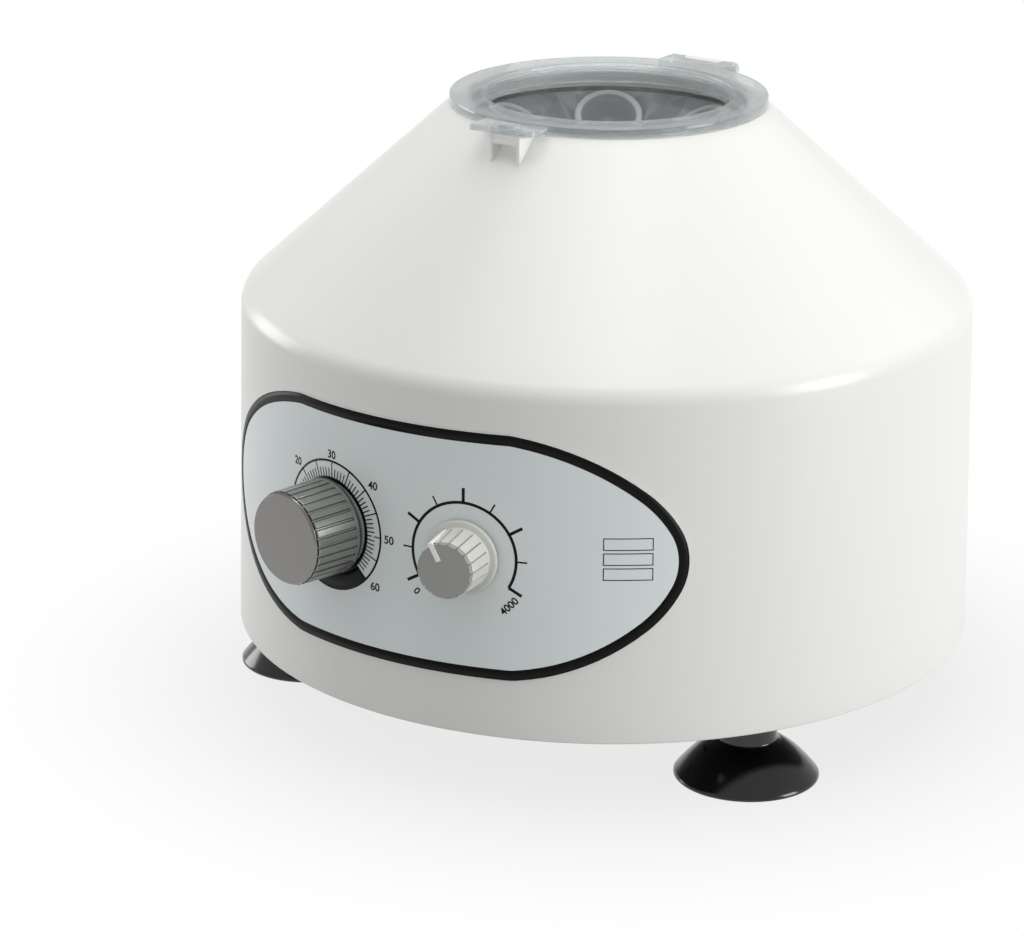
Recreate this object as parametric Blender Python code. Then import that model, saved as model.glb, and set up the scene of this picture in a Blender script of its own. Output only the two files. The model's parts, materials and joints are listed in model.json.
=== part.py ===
"""Bench centrifuge for butterfat and other 20 ml tubes, built as separate pieces.

The origin is on the spin axis at bench level, +Z is up, and the control panel faces -Y.
All sizes are in millimetres and are turned into metres when a mesh is made. Heights that
start with H_ are measured from the bench. Azimuths are in degrees, seen from above: 0 is the
front (-Y), 90 is +X and 180 is the back.
"""
import math

import bmesh
import bpy
from mathutils import Matrix, Vector

MM = 0.001

# Clearances
SEAT_GAP = 0.3            # between two still pieces that touch
RUN_GAP = 0.4             # around a turning shaft or pin
THREAD_GAP = 0.3          # between a screw and its pilot hole

# Suction feet
FOOT_HEIGHT = 25.4        # bench to the drum's lower edge
FOOT_INSET = 24.2         # drum's lower edge in to a foot's bolt
FOOT_AZIMUTHS = (60, 180, 300)
CUP_RADIUS = 25.1
CUP_HEIGHT = 14.0
CUP_RIM_WIDTH = 4.4
CUP_LIP = 1.0
CUP_BULGE = 1.5           # 1 is a straight cone, more is rounder
CUP_HOLLOW = 7.5
FOOT_NECK_RADIUS = 10.3
FOOT_BOLT_RADIUS = 3.0
FOOT_BOLT_REACH = 12.0
FOOT_BOLT_HEAD = 4.0
FOOT_BOLT_HEAD_RADIUS = 5.8

# Housing: drum, cone and neck in one moulding
DRUM_FOOT_RADIUS = 132.6
DRUM_SHOULDER_RADIUS = 130.0
SHOULDER_RISE = 14.5      # overlay's upper edge to the sharp shoulder corner
SHOULDER_FILLET = 9.0
NECK_RISE = 13.1          # middle of the tubes' mouths to the neck's top
NECK_WIDTH = 6.0
NECK_DEPTH = 5.6
WALL = 2.8
COLUMN_RADIUS = 5.5
COLUMN_CLEAR = 0.5        # between a column and the drum's wall, bridged by its web
COLUMN_AZIMUTHS = (45, 135, 225, 315)
COLUMN_WEB = 4.0

# Base plate and its screws
PLATE_RECESS = 2.5        # drum's lower edge up to the plate's underside
PLATE_THICKNESS = 2.0
PLATE_EDGE_GAP = 0.5
SLOT_COUNT = 12
SLOT_WIDTH = 4.0
SLOT_INNER = 56.0
SLOT_OUTER = 82.0
SCREW_RADIUS = 1.6
SCREW_HEAD_RADIUS = 3.6
SCREW_HEAD_HEIGHT = 2.0
SCREW_REACH = 10.0

# Chamber floor, the tray between rotor and wiring
TRAY_CASE_GAP = 1.8       # timer's case up to the flange
TRAY_SIDE_GAP = 1.5       # flange's inner edge to the timer and the columns
TRAY_SLOPE_RUN = 8.5
TRAY_DISH_DEPTH = 8.0
TRAY_HOLE_GAP = 4.0       # motor to the tray's hole
TRAY_COLLAR = 6.0
TRAY_THICKNESS = 2.0

# Motor
DAMPER_RADIUS = 7.0
DAMPER_HEIGHT = 11.9
DAMPER_INSET = 10.0       # can's outside in to the dampers' middles
MOTOR_RADIUS = 36.0
MOTOR_WALL = 2.0
BELL_THICKNESS = 5.0
BOTTOM_BELL_DEPTH = 11.0
BELL_FLOOR = 2.0          # under the lower bearing
CAN_HEIGHT = 56.0
TOP_BELL_HEIGHT = 12.0
TOP_BELL_BOSS = 16.0
SHAFT_RADIUS = 5.0
SHAFT_TAIL_RADIUS = 4.0
SHAFT_COLLAR_RADIUS = 8.0
SHAFT_COLLAR = 4.0
BEARING_RADIUS = 11.0
BEARING_WIDTH = 7.0
AIR_GAP = 3.5             # can to the armature
ARMATURE_CLEAR = 4.0      # armature's top to the can's
COMMUTATOR_RADIUS = 12.0
COMMUTATOR_HEIGHT = 12.0
COMMUTATOR_GAP = 6.0
COMMUTATOR_STAND = 1.0    # can's lower edge up to the commutator
BRUSH_RADIUS = 4.0
BRUSH_CAP_RADIUS = 5.5
BRUSH_CAP_REACH = 6.0

# Rotor with six tube sleeves
TUBE_COUNT = 6
ROTOR_REST_AZIMUTH = 32.3
TUBE_TILT = 34.0          # from the vertical, mouths leaning inwards
MOUTH_CIRCLE = 36.0
SLEEVE_CLEAR = 6.2        # tray's dish up to the sleeves
SLEEVE_LENGTH = 109.6
SLEEVE_RADIUS = 11.2
SLEEVE_WALL = 1.3
COLLAR_RADIUS = 12.3
COLLAR_HEIGHT = 3.0
SEAT_DEPTH = 1.0          # spot face below the dish at its shallowest
DISH_THICKNESS = 4.0
SKIRT_GAP = 1.0
SKIRT_WALL = 2.4
SKIRT_LENGTH = 50.0
HUB_RADIUS = 13.0
HUB_RISE = 1.5
HUB_CLEAR = 1.3           # motor's top bell to the shaft's collar
NUT_RADIUS = 7.5
NUT_HEIGHT = 9.5
NUT_THREAD_RADIUS = 4.0
NUT_THREAD_LENGTH = 6.5

# Lid, hinge and latch
LID_RADIUS = 57.0
LID_THICKNESS = 3.5
LID_EDGE = 0.7
LID_OVERHANG = 1.0        # lid's edge beyond the neck's
RECESS_INSET = 6.0        # chamber's mouth in to the recess
WINDOW_DEPTH = 6.0
WINDOW_THICKNESS = 1.8
PLUG_GAP = 1.2
RIDGE_COUNT = 4
RIDGE_STEP = 0.45
RIDGE_RISE = 1.1
TAB_HALF_WIDTH = 15.0
TAB_OVERHANG = 0.8        # tab's edge beyond the keeper's
TAB_CORNER = 2.5
BLOCK_HALF_WIDTH = 6.8
BLOCK_LENGTH = 8.0
BLOCK_HEIGHT = 1.3
HINGE_STAND = 7.4         # lid's edge to the hinge pin
HINGE_RADIUS = 2.9
HINGE_HALF_WIDTH = 13.4
EAR_HALF_WIDTH = 7.5
EAR_FOOT = 3.0
PIN_RADIUS = 1.2
KEEPER_HALF_WIDTH = 6.75
KEEPER_WALL = 1.4
KEEPER_DROP = 1.1         # lid's underside to the keeper's top
KEEPER_STAND = 8.7        # lid's edge to the keeper's front
KEEPER_WINDOW = 0.4       # between the pad and the catch bar's back edge
KEEPER_BAR_DEPTH = 2.1
KEEPER_PAD = 0.8
HOOK_HALF_WIDTH = 4.0
HOOK_THICKNESS = 1.8
HOOK_FLOOR_GAP = 0.5
HOOK_GAP = 0.8

# Control panel overlay
PANEL_FOOT = 21.7         # drum's lower edge up to the overlay
PANEL_STRAIGHT = 47.7     # half of the straight top edge, along the drum
PANEL_BEND_RADIUS = 40.0
PANEL_SIDE_RADIUS = 90.0
PANEL_CORNER_RADIUS = 43.0
PANEL_TIP_RADIUS = 24.8
PANEL_ARCS = ((PANEL_BEND_RADIUS, 0, 17), (PANEL_SIDE_RADIUS, 17, 37),
              (PANEL_CORNER_RADIUS, 37, 64), (PANEL_TIP_RADIUS, 64, 90))
PANEL_THICKNESS = 0.5

# Controls
CONTROL_OFFSET = 27.0     # front line to each shaft, along the drum
CONTROL_DROP = 0.8        # shafts below the overlay's middle
BUSH_RADIUS = 4.5
BUSH_STAND = 0.95         # thread that shows beyond the nut
CONTROL_SHAFT_RADIUS = 3.0
SHAFT_TAIL_DEPTH = 4.0    # bore for the shaft behind the case's front face
BUSH_NUT_RADIUS = 7.0
BUSH_NUT_HEIGHT = 2.2
KNOB_GAP = 0.4            # knob's lower edge to the overlay
KNOB_WALL = 2.2
KNOB_BOSS_RADIUS = 5.6
KNOB_BOSS_GAP = 1.6       # end of the bush to the knob's boss
KNOB_TOP = 3.0
TIMER_KNOB_LENGTH = 19.0
TIMER_SKIRT_RADIUS = 16.6
TIMER_SKIRT_HEIGHT = 3.2
TIMER_GRIP_RADIUS = 16.5
TIMER_FACE_RADIUS = 15.8
TIMER_RIB_COUNT = 32
TIMER_GROOVE = 0.7
TIMER_CAP_RADIUS = 15.5
TIMER_CAP_HEIGHT = 1.1
TIMER_CAP_CHAMFER = 0.55
TIMER_SPIGOT_RADIUS = 11.0
TIMER_SPIGOT = 1.2
TIMER_BODY_HALF = 17.0
TIMER_BODY_DEPTH = 24.0
SPEED_KNOB_LENGTH = 13.8
SPEED_SKIRT_RADIUS = 11.6
SPEED_SKIRT_HEIGHT = 2.0
SPEED_GRIP_RADIUS = 10.3
SPEED_FACE_RADIUS = 10.1
SPEED_FLUTE_COUNT = 18
SPEED_FLUTE = 0.45
SPEED_CAP_RADIUS = 9.9
SPEED_CAP_HEIGHT = 1.0
SPEED_KNOB_TURN = 118.0   # pointer at rest, counter-clockwise from 3 o'clock
POINTER_WIDTH = 1.3
POINTER_DEPTH = 1.0
POINTER_PROUD = 0.3
POINTER_START = 4.6
POT_RADIUS = 12.0
POT_DEPTH = 10.0

# Circuit board
BOARD_SIZE = (40.0, 56.0)
BOARD_INSET = 51.2        # base plate's edge in to the board's middle
BOARD_SHIFT = 23.0        # board's middle behind the spin axis
BOARD_THICKNESS = 1.6
BOARD_POST_RADIUS = 2.8
BOARD_POST_HEIGHT = 8.0
BOARD_POST_INSET = 4.0
HEAT_SINK_SIZE = (3.0, 28.0, 22.0)
HEAT_SINK_INSET = 4.0
CHOKE_SIZE = (14.0, 16.0, 12.0)
CAPACITOR_RADIUS = 7.0
CAPACITOR_HEIGHT = 18.0
PART_INSET = 5.0          # choke and capacitor to the board's edges

# Inlet gland at the back
GLAND_HEIGHT = 28.0
GLAND_THREAD_RADIUS = 7.4
GLAND_FLANGE_RADIUS = 10.4
GLAND_FLANGE = 5.0
GLAND_CAP_RADIUS = 9.6
GLAND_CAP_LENGTH = 12.5
GLAND_NIPPLE_RADIUS = 6.0
GLAND_NIPPLE = 7.0
GLAND_BORE_RADIUS = 3.6
GLAND_NUT_HEIGHT = 4.0
GLAND_THREAD_REACH = 6.2

# Facets round a full turn
FINE_COUNT = 60
LID_COUNT = 48
MEDIUM_COUNT = 36
ROUND_COUNT = 24
COARSE_COUNT = 20
SMALL_COUNT = 12

BACK = 180.0
FRONT = 0.0


# The motor's pieces and its hole in the tray follow the can
DAMPER_CIRCLE = MOTOR_RADIUS - DAMPER_INSET
ARMATURE_RADIUS = MOTOR_RADIUS - MOTOR_WALL - AIR_GAP
TRAY_HOLE_RADIUS = MOTOR_RADIUS + TRAY_HOLE_GAP

# Lid, neck and latch follow the lid's radius
NECK_OUTER_RADIUS = LID_RADIUS - LID_OVERHANG
NECK_RADIUS = NECK_OUTER_RADIUS - NECK_WIDTH
RECESS_RADIUS = NECK_RADIUS - RECESS_INSET
HINGE_REACH = LID_RADIUS + HINGE_STAND
KEEPER_REACH = LID_RADIUS + KEEPER_STAND
TAB_REACH = KEEPER_REACH + TAB_OVERHANG
BLOCK_START = TAB_REACH - BLOCK_LENGTH

TILT = math.radians(TUBE_TILT)
TUBE_DOWN = Vector((math.sin(TILT), -math.cos(TILT)))       # along a tube, in (radius, height)
TUBE_ACROSS = Vector((math.cos(TILT), math.sin(TILT)))      # across it, outwards and up
SLEEVE_DROP = (SLEEVE_LENGTH - SLEEVE_RADIUS) * math.cos(TILT) + SLEEVE_RADIUS
PANEL_HALF_HEIGHT = sum(radius * (math.cos(math.radians(start)) - math.cos(math.radians(end)))
                        for radius, start, end in PANEL_ARCS)

# Heights above the bench, each from the piece below it: overlay, controls, tray, rotor, neck
H_DRUM_FOOT = FOOT_HEIGHT
H_PLATE = H_DRUM_FOOT + PLATE_RECESS
H_PLATE_TOP = H_PLATE + PLATE_THICKNESS
H_PANEL = H_DRUM_FOOT + PANEL_FOOT + PANEL_HALF_HEIGHT
H_SHOULDER = H_PANEL + PANEL_HALF_HEIGHT + SHOULDER_RISE
H_CONTROL = H_PANEL - CONTROL_DROP
H_TRAY_UNDER = H_CONTROL + TIMER_BODY_HALF + TRAY_CASE_GAP
H_TRAY_TOP = H_TRAY_UNDER + TRAY_THICKNESS
H_MOUTH = H_TRAY_TOP - TRAY_DISH_DEPTH + SLEEVE_CLEAR + SLEEVE_DROP
H_NECK_TOP = H_MOUTH + NECK_RISE
H_NECK_FOOT = H_NECK_TOP - NECK_DEPTH
H_LID_UNDER = H_NECK_TOP + SEAT_GAP
H_LID_TOP = H_LID_UNDER + LID_THICKNESS
H_HINGE = H_LID_TOP - HINGE_RADIUS
H_COLUMN_FOOT = H_PLATE_TOP + SEAT_GAP
H_COLUMN_TOP = H_TRAY_UNDER - SEAT_GAP
H_GLAND = H_DRUM_FOOT + GLAND_HEIGHT
H_MOTOR = H_PLATE_TOP + SEAT_GAP + DAMPER_HEIGHT + SEAT_GAP
H_CAN = H_MOTOR + BOTTOM_BELL_DEPTH + SEAT_GAP
H_CAN_TOP = H_CAN + CAN_HEIGHT
H_TOP_BELL = H_CAN_TOP + SEAT_GAP
H_MOTOR_TOP = H_TOP_BELL + TOP_BELL_HEIGHT

# The cone falls from the neck's edge to the shoulder corner
CONE_RUN = (DRUM_SHOULDER_RADIUS - NECK_OUTER_RADIUS) / (H_NECK_TOP - H_SHOULDER)


def drum_radius(height):
    """Radius of the drum's skin at a height above the bench, following its draft."""
    share = (height - H_DRUM_FOOT) / (H_SHOULDER - H_DRUM_FOOT)
    return DRUM_FOOT_RADIUS + (DRUM_SHOULDER_RADIUS - DRUM_FOOT_RADIUS) * share


def cone_height(radius):
    """Height of the cone's skin above the bench at a radius."""
    return H_NECK_TOP - (radius - NECK_OUTER_RADIUS) / CONE_RUN


def column_circle(height):
    """Spin axis to a screw column's middle at a height; the columns follow the wall."""
    return drum_radius(height) - WALL - COLUMN_CLEAR - COLUMN_RADIUS


def inner_face(height, half_width, half_height):
    """Where a flat face meets the drum's inner wall at a height, from the skin, negative in."""
    inner = min(drum_radius(height + half_height), drum_radius(height - half_height)) - WALL
    return math.sqrt(inner ** 2 - half_width ** 2) - SEAT_GAP - drum_radius(height)


def overlay_face(reach):
    """Highest point of the overlay within a reach of a control's shaft, from the skin."""
    return SEAT_GAP + PANEL_THICKNESS + reach * DRUM_DRAFT


DRUM_DRAFT = abs(DRUM_FOOT_RADIUS - DRUM_SHOULDER_RADIUS) / (H_SHOULDER - H_DRUM_FOOT)
FOOT_CIRCLE = DRUM_FOOT_RADIUS - FOOT_INSET
PLATE_RADIUS = drum_radius(H_PLATE) - WALL - PLATE_EDGE_GAP
BASE_SCREW_CIRCLE = column_circle(H_COLUMN_FOOT)
FLOOR_SCREW_CIRCLE = column_circle(H_COLUMN_TOP)

# The tray's flange starts behind the timer's case and inside the columns
TIMER_FACE = inner_face(H_CONTROL, TIMER_BODY_HALF, TIMER_BODY_HALF)
TIMER_INNER = drum_radius(H_CONTROL) + TIMER_FACE - TIMER_BODY_DEPTH
TRAY_FLANGE_INNER = min(TIMER_INNER, FLOOR_SCREW_CIRCLE - COLUMN_RADIUS) - TRAY_SIDE_GAP
TRAY_DISH_RADIUS = TRAY_FLANGE_INNER - TRAY_SLOPE_RUN

# Controls on the front wall, from the drum's skin outwards
CONTROL_TURN = math.degrees(CONTROL_OFFSET / drum_radius(H_CONTROL))
BUSH_NUT_SEAT = overlay_face(BUSH_NUT_RADIUS) + SEAT_GAP
BUSH_END = BUSH_NUT_SEAT + BUSH_NUT_HEIGHT + BUSH_STAND
KNOB_BOSS_START = BUSH_END + KNOB_BOSS_GAP
TIMER_KNOB_BASE = overlay_face(TIMER_SKIRT_RADIUS) + KNOB_GAP
SPEED_KNOB_BASE = overlay_face(SPEED_SKIRT_RADIUS) + KNOB_GAP

# Rotor hub, whose top edge is the inner rim of the dished face
H_HUB_TOP_EDGE = (H_MOUTH + TUBE_DOWN.y * (COLLAR_HEIGHT + SEAT_GAP - SEAT_DEPTH)
                  + (HUB_RADIUS - MOUTH_CIRCLE
                     - TUBE_DOWN.x * (COLLAR_HEIGHT + SEAT_GAP - SEAT_DEPTH)) * math.tan(TILT))
H_HUB_TOP = H_HUB_TOP_EDGE + HUB_RISE
H_HUB_FOOT = H_MOTOR_TOP + HUB_CLEAR + SHAFT_COLLAR + SEAT_GAP


# Materials

def finish(name, colour, roughness, metallic=0.0, alpha=1.0):
    """A Principled material from an sRGB colour."""
    material = bpy.data.materials.new(name)
    material.use_nodes = True
    shader = material.node_tree.nodes["Principled BSDF"]
    linear = [(c / 255 / 12.92) if c <= 10 else ((c / 255 + 0.055) / 1.055) ** 2.4
              for c in colour]
    shader.inputs["Base Color"].default_value = (*linear, 1.0)
    shader.inputs["Roughness"].default_value = roughness
    shader.inputs["Metallic"].default_value = metallic
    shader.inputs["Alpha"].default_value = alpha
    material.diffuse_color = (*linear, alpha)
    return material


def make_finishes():
    """Every finish of the machine, by name."""
    return {
        "white_abs": finish("white_abs", (234, 234, 229), 0.28),
        "white_nylon": finish("white_nylon", (242, 242, 240), 0.35),
        "clear_lid": finish("clear_lid", (190, 203, 208), 0.08, alpha=0.35),
        "overlay": finish("overlay", (218, 224, 228), 0.35),
        "black_rubber": finish("black_rubber", (22, 22, 23), 0.22),
        "damper_rubber": finish("damper_rubber", (34, 34, 35), 0.7),
        "dark_tray": finish("dark_tray", (70, 71, 73), 0.5),
        "rotor_grey": finish("rotor_grey", (92, 93, 95), 0.45),
        "sleeve": finish("sleeve", (196, 201, 204), 0.3, alpha=0.6),
        "grip_grey": finish("grip_grey", (122, 128, 122), 0.38, 0.35),
        "brushed_cap": finish("brushed_cap", (150, 150, 149), 0.3, 0.9),
        "knob_white": finish("knob_white", (206, 206, 200), 0.4),
        "knob_cap_grey": finish("knob_cap_grey", (132, 132, 131), 0.5),
        "pointer_white": finish("pointer_white", (248, 248, 246), 0.4),
        "steel": finish("steel", (176, 178, 180), 0.3, 1.0),
        "plate_black": finish("plate_black", (40, 41, 43), 0.45, 0.6),
        "motor_steel": finish("motor_steel", (120, 123, 126), 0.4, 0.9),
        "lamination": finish("lamination", (96, 92, 88), 0.5, 0.8),
        "black_plastic": finish("black_plastic", (28, 28, 30), 0.4),
        "board_green": finish("board_green", (32, 92, 58), 0.5),
    }


# Mesh helpers

def metres_matrix(matrix):
    """A matrix in millimetres as a world matrix in metres."""
    metres = matrix.copy()
    metres.translation = matrix.translation * MM
    return metres


def place(name, mesh_builder, material, matrix):
    """Make an object from a bmesh in millimetres, set at a matrix in millimetres."""
    bmesh.ops.remove_doubles(mesh_builder, verts=mesh_builder.verts, dist=1e-4)
    bmesh.ops.recalc_face_normals(mesh_builder, faces=mesh_builder.faces)
    mesh_builder.transform(Matrix.Scale(MM, 4))
    mesh = bpy.data.meshes.new(name)
    mesh_builder.to_mesh(mesh)
    mesh_builder.free()
    mesh.shade_smooth()
    mesh.set_sharp_from_angle(angle=math.radians(32))
    thing = bpy.data.objects.new(name, mesh)
    bpy.context.scene.collection.objects.link(thing)
    if material:
        mesh.materials.append(material)
    thing.matrix_world = metres_matrix(matrix)
    return thing


def closes_flat_end(profile, i):
    """Whether a point on the axis only closes the flat face next to it."""
    radius, height = profile[i]
    beside = (profile[i - 1], profile[(i + 1) % len(profile)])
    return radius == 0.0 and any(r > 0.0 and h == height for r, h in beside)


def turned(name, profile, steps, material=None, matrix=Matrix()):
    """A (radius, height) outline spun about the local Z axis; flat ends are single faces."""
    shape = bmesh.new()
    count = len(profile)
    flat_ends = [i for i in range(count) if closes_flat_end(profile, i)]
    corners = [shape.verts.new((radius, 0.0, height)) for radius, height in profile]
    edges = []
    for i, (a, b) in enumerate(zip(corners, corners[1:] + corners[:1])):
        on_axis = a.co.x == 0.0 and b.co.x == 0.0
        if not on_axis and i not in flat_ends and (i + 1) % count not in flat_ends:
            edges.append(shape.edges.new((a, b)))
    bmesh.ops.delete(shape, geom=[corners[i] for i in flat_ends], context="VERTS")
    bmesh.ops.spin(shape, geom=shape.verts[:] + edges, cent=(0, 0, 0), axis=(0, 0, 1),
                   angle=math.tau, steps=steps, use_merge=True, use_duplicate=False)
    bmesh.ops.remove_doubles(shape, verts=shape.verts, dist=1e-4)
    rims = [edge for edge in shape.edges if edge.is_boundary]
    if rims:
        bmesh.ops.edgeloop_fill(shape, edges=rims)
    return place(name, shape, material, matrix)


def extruded(name, outline, low, high, material=None, matrix=Matrix()):
    """A closed (x, y) outline drawn along the local Z axis from low to high."""
    shape = bmesh.new()
    corners = [shape.verts.new((x, y, low)) for x, y in outline]
    face = shape.faces.new(corners)
    walls = bmesh.ops.extrude_face_region(shape, geom=[face])
    moved = [item for item in walls["geom"] if isinstance(item, bmesh.types.BMVert)]
    bmesh.ops.translate(shape, verts=moved, vec=(0, 0, high - low))
    if len(shape.faces) < len(corners) + 2:
        shape.faces.new(corners)
    return place(name, shape, material, matrix)


def lofted(name, rings, material=None, matrix=Matrix()):
    """A solid through rings of the same number of (x, y, z) points, closed at both ends."""
    shape = bmesh.new()
    loops = [[shape.verts.new(point) for point in ring] for ring in rings]
    for lower, upper in zip(loops, loops[1:]):
        for i, corner in enumerate(lower):
            j = (i + 1) % len(lower)
            shape.faces.new((corner, lower[j], upper[j], upper[i]))
    shape.faces.new(loops[0])
    shape.faces.new(loops[-1])
    return place(name, shape, material, matrix)


def block(name, low, high, material=None, matrix=Matrix()):
    """A box between two corners."""
    outline = [(low[0], low[1]), (high[0], low[1]), (high[0], high[1]), (low[0], high[1])]
    return extruded(name, outline, low[2], high[2], material, matrix)


def rod(name, radius, low, high, steps, material=None, matrix=Matrix()):
    """A plain cylinder along the local Z axis."""
    return turned(name, [(0, high), (radius, high), (radius, low), (0, low)],
                  steps, material, matrix)


def combine(target, tool, operation):
    """Apply an exact Boolean to the target and remove the tool."""
    step = target.modifiers.new(operation.lower(), "BOOLEAN")
    step.operation = operation
    step.solver = "EXACT"
    step.object = tool
    tool.hide_render = True
    tool.display_type = "WIRE"
    bpy.context.view_layer.update()
    graph = bpy.context.evaluated_depsgraph_get()
    result = bpy.data.meshes.new_from_object(target.evaluated_get(graph))
    old = target.data
    target.modifiers.clear()
    target.data = result
    result.name = old.name
    bpy.data.meshes.remove(old)
    bpy.data.objects.remove(tool)
    result.shade_smooth()
    result.set_sharp_from_angle(angle=math.radians(32))
    return target


def add(target, *tools):
    for tool in tools:
        combine(target, tool, "UNION")
    return target


def cut(target, *tools):
    for tool in tools:
        combine(target, tool, "DIFFERENCE")
    return target


def arc(centre, radius, start, end, steps):
    """Points on a circle from one angle to another, in degrees."""
    angles = [math.radians(start + (end - start) * i / steps) for i in range(steps + 1)]
    return [(centre[0] + radius * math.cos(a), centre[1] + radius * math.sin(a))
            for a in angles]


def rounded(corner, before, after, radius, steps):
    """The arc that rounds a corner between its two neighbours, as points."""
    corner, before, after = Vector(corner), Vector(before), Vector(after)
    back = (before - corner).normalized()
    ahead = (after - corner).normalized()
    half = back.angle(ahead) / 2
    centre = corner + (back + ahead).normalized() * radius / math.sin(half)
    first = corner + back * radius / math.tan(half)
    last = corner + ahead * radius / math.tan(half)
    start = first - centre
    sweep = (last - centre).angle_signed(start)
    points = []
    for i in range(steps + 1):
        turn = Matrix.Rotation(sweep * i / steps, 2)
        points.append(tuple(centre + turn @ start))
    return points


def hexagon(radius):
    return arc((0, 0), radius, 0, 360, 6)[:-1]


def about_axis(azimuth):
    """Turn a piece drawn at the front (-Y) round to an azimuth."""
    return Matrix.Rotation(math.radians(azimuth), 4, "Z")


def standing(radius, azimuth, height):
    """An upright frame at a radius, azimuth and height."""
    return about_axis(azimuth) @ Matrix.Translation((0, -radius, height))


def facing_out(radius, azimuth, height):
    """A frame whose Z axis points outwards, with X to the viewer's right and Y up."""
    turn = Matrix(((1, 0, 0, 0), (0, 0, -1, 0), (0, 1, 0, 0), (0, 0, 0, 1)))
    return standing(radius, azimuth, height) @ turn


def along_radius(azimuth):
    """A frame with X outwards, Y up and Z sideways, for outlines drawn in (radius, height)."""
    turn = Matrix(((0, 0, 1, 0), (-1, 0, 0, 0), (0, 1, 0, 0), (0, 0, 0, 1)))
    return about_axis(azimuth) @ turn


def pivot(name, matrix):
    """An empty on a joint's axis, which carries the pieces that move with it."""
    empty = bpy.data.objects.new(name, None)
    bpy.context.scene.collection.objects.link(empty)
    empty.matrix_world = metres_matrix(matrix)
    return empty


def carry(empty, pieces):
    """Parent pieces to an empty and leave them where they are."""
    bpy.context.view_layer.update()
    for piece in pieces:
        world = piece.matrix_world.copy()
        piece.parent = empty
        piece.matrix_parent_inverse = empty.matrix_world.inverted()
        piece.matrix_world = world


# Housing

def cone_outline(grow):
    """Outer outline of drum and cone moved outwards by grow, top to bottom."""
    lean = math.hypot(1.0, CONE_RUN)
    side = grow * lean
    top = (NECK_OUTER_RADIUS + side, H_NECK_TOP)
    corner = (DRUM_SHOULDER_RADIUS + grow,
              cone_height(DRUM_SHOULDER_RADIUS + grow - side))
    foot = (DRUM_FOOT_RADIUS + grow, H_DRUM_FOOT)
    return top, corner, foot


def make_housing(finishes):
    """Drum, cone and neck in one wall, with four screw columns and the hinge ear."""
    top, corner, foot = cone_outline(0.0)
    inner_top, inner_corner, inner_foot = cone_outline(-WALL)
    under_neck = (inner_top[0] + NECK_DEPTH * CONE_RUN, H_NECK_FOOT)
    edge = 0.8
    profile = [(NECK_RADIUS, H_NECK_TOP), (top[0] - edge, H_NECK_TOP),
               (top[0] + edge * CONE_RUN / 2, H_NECK_TOP - edge / 2)]
    profile += rounded(corner, top, foot, SHOULDER_FILLET, 5)
    profile += [foot, inner_foot]
    profile += rounded(inner_corner, inner_foot, under_neck, SHOULDER_FILLET - WALL, 2)
    profile += [under_neck, (NECK_RADIUS, H_NECK_FOOT)]
    housing = turned("housing", profile, FINE_COUNT, finishes["white_abs"])

    for azimuth in COLUMN_AZIMUTHS:
        add(housing, screw_column(azimuth))
    add(housing, hinge_ear())

    hole = rod("hole", PIN_RADIUS + SEAT_GAP, -EAR_HALF_WIDTH - 1, EAR_HALF_WIDTH + 1, SMALL_COUNT,
               matrix=hinge_frame())
    cut(housing, hole)
    for azimuth in (-CONTROL_TURN, CONTROL_TURN):
        wall = facing_out(drum_radius(H_CONTROL), azimuth, H_CONTROL)
        cut(housing, rod("hole", BUSH_RADIUS + SEAT_GAP, -3 * WALL, WALL, COARSE_COUNT, matrix=wall))
    wall = facing_out(drum_radius(H_GLAND), BACK, H_GLAND)
    cut(housing, rod("hole", GLAND_THREAD_RADIUS + SEAT_GAP, -3 * WALL, WALL, COARSE_COUNT,
                     matrix=wall))
    deep = SCREW_REACH + 2
    hole_radius = SCREW_RADIUS + THREAD_GAP
    for azimuth in COLUMN_AZIMUTHS:
        cut(housing, rod("hole", hole_radius, H_COLUMN_FOOT - 1, H_COLUMN_FOOT + deep, SMALL_COUNT,
                         matrix=standing(BASE_SCREW_CIRCLE, azimuth, 0)))
        cut(housing, rod("hole", hole_radius, H_COLUMN_TOP - deep, H_COLUMN_TOP + 1, SMALL_COUNT,
                         matrix=standing(FLOOR_SCREW_CIRCLE, azimuth, 0)))
    return housing


def screw_column(azimuth):
    """A round column that leans with the drum's draft, and the web to the wall's middle."""
    half = COLUMN_WEB / 2
    column_rings = []
    web_rings = []
    for height in (H_COLUMN_FOOT, H_COLUMN_TOP):
        middle = -column_circle(height)
        outer = -(drum_radius(height) - WALL / 2)
        circle = arc((0, middle), COLUMN_RADIUS, 0, 360, SMALL_COUNT)[:-1]
        column_rings.append([(x, y, height) for x, y in circle])
        web_rings.append([(-half, middle, height), (half, middle, height),
                          (half, outer, height), (-half, outer, height)])
    turn = about_axis(azimuth)
    return add(lofted("column", column_rings, matrix=turn), lofted("web", web_rings, matrix=turn))


def hinge_frame():
    """On the hinge pin, with Z along the pin."""
    return (standing(HINGE_REACH, BACK, H_HINGE)
            @ Matrix.Rotation(math.pi / 2, 4, "Y"))


def hinge_ear():
    """The housing's knuckle and the web that carries it, rising out of the cone."""
    sink = WALL / 2
    front = HINGE_REACH - HINGE_RADIUS
    back = HINGE_REACH + HINGE_RADIUS
    outline = [(front, cone_height(front) - sink)]
    outline += [(back + EAR_FOOT, cone_height(back + EAR_FOOT) - sink)]
    outline += arc((HINGE_REACH, H_HINGE), HINGE_RADIUS, 0, 180, 8)
    return extruded("ear", outline, -EAR_HALF_WIDTH, EAR_HALF_WIDTH, matrix=along_radius(BACK))


# Feet, base plate and screws

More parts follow.
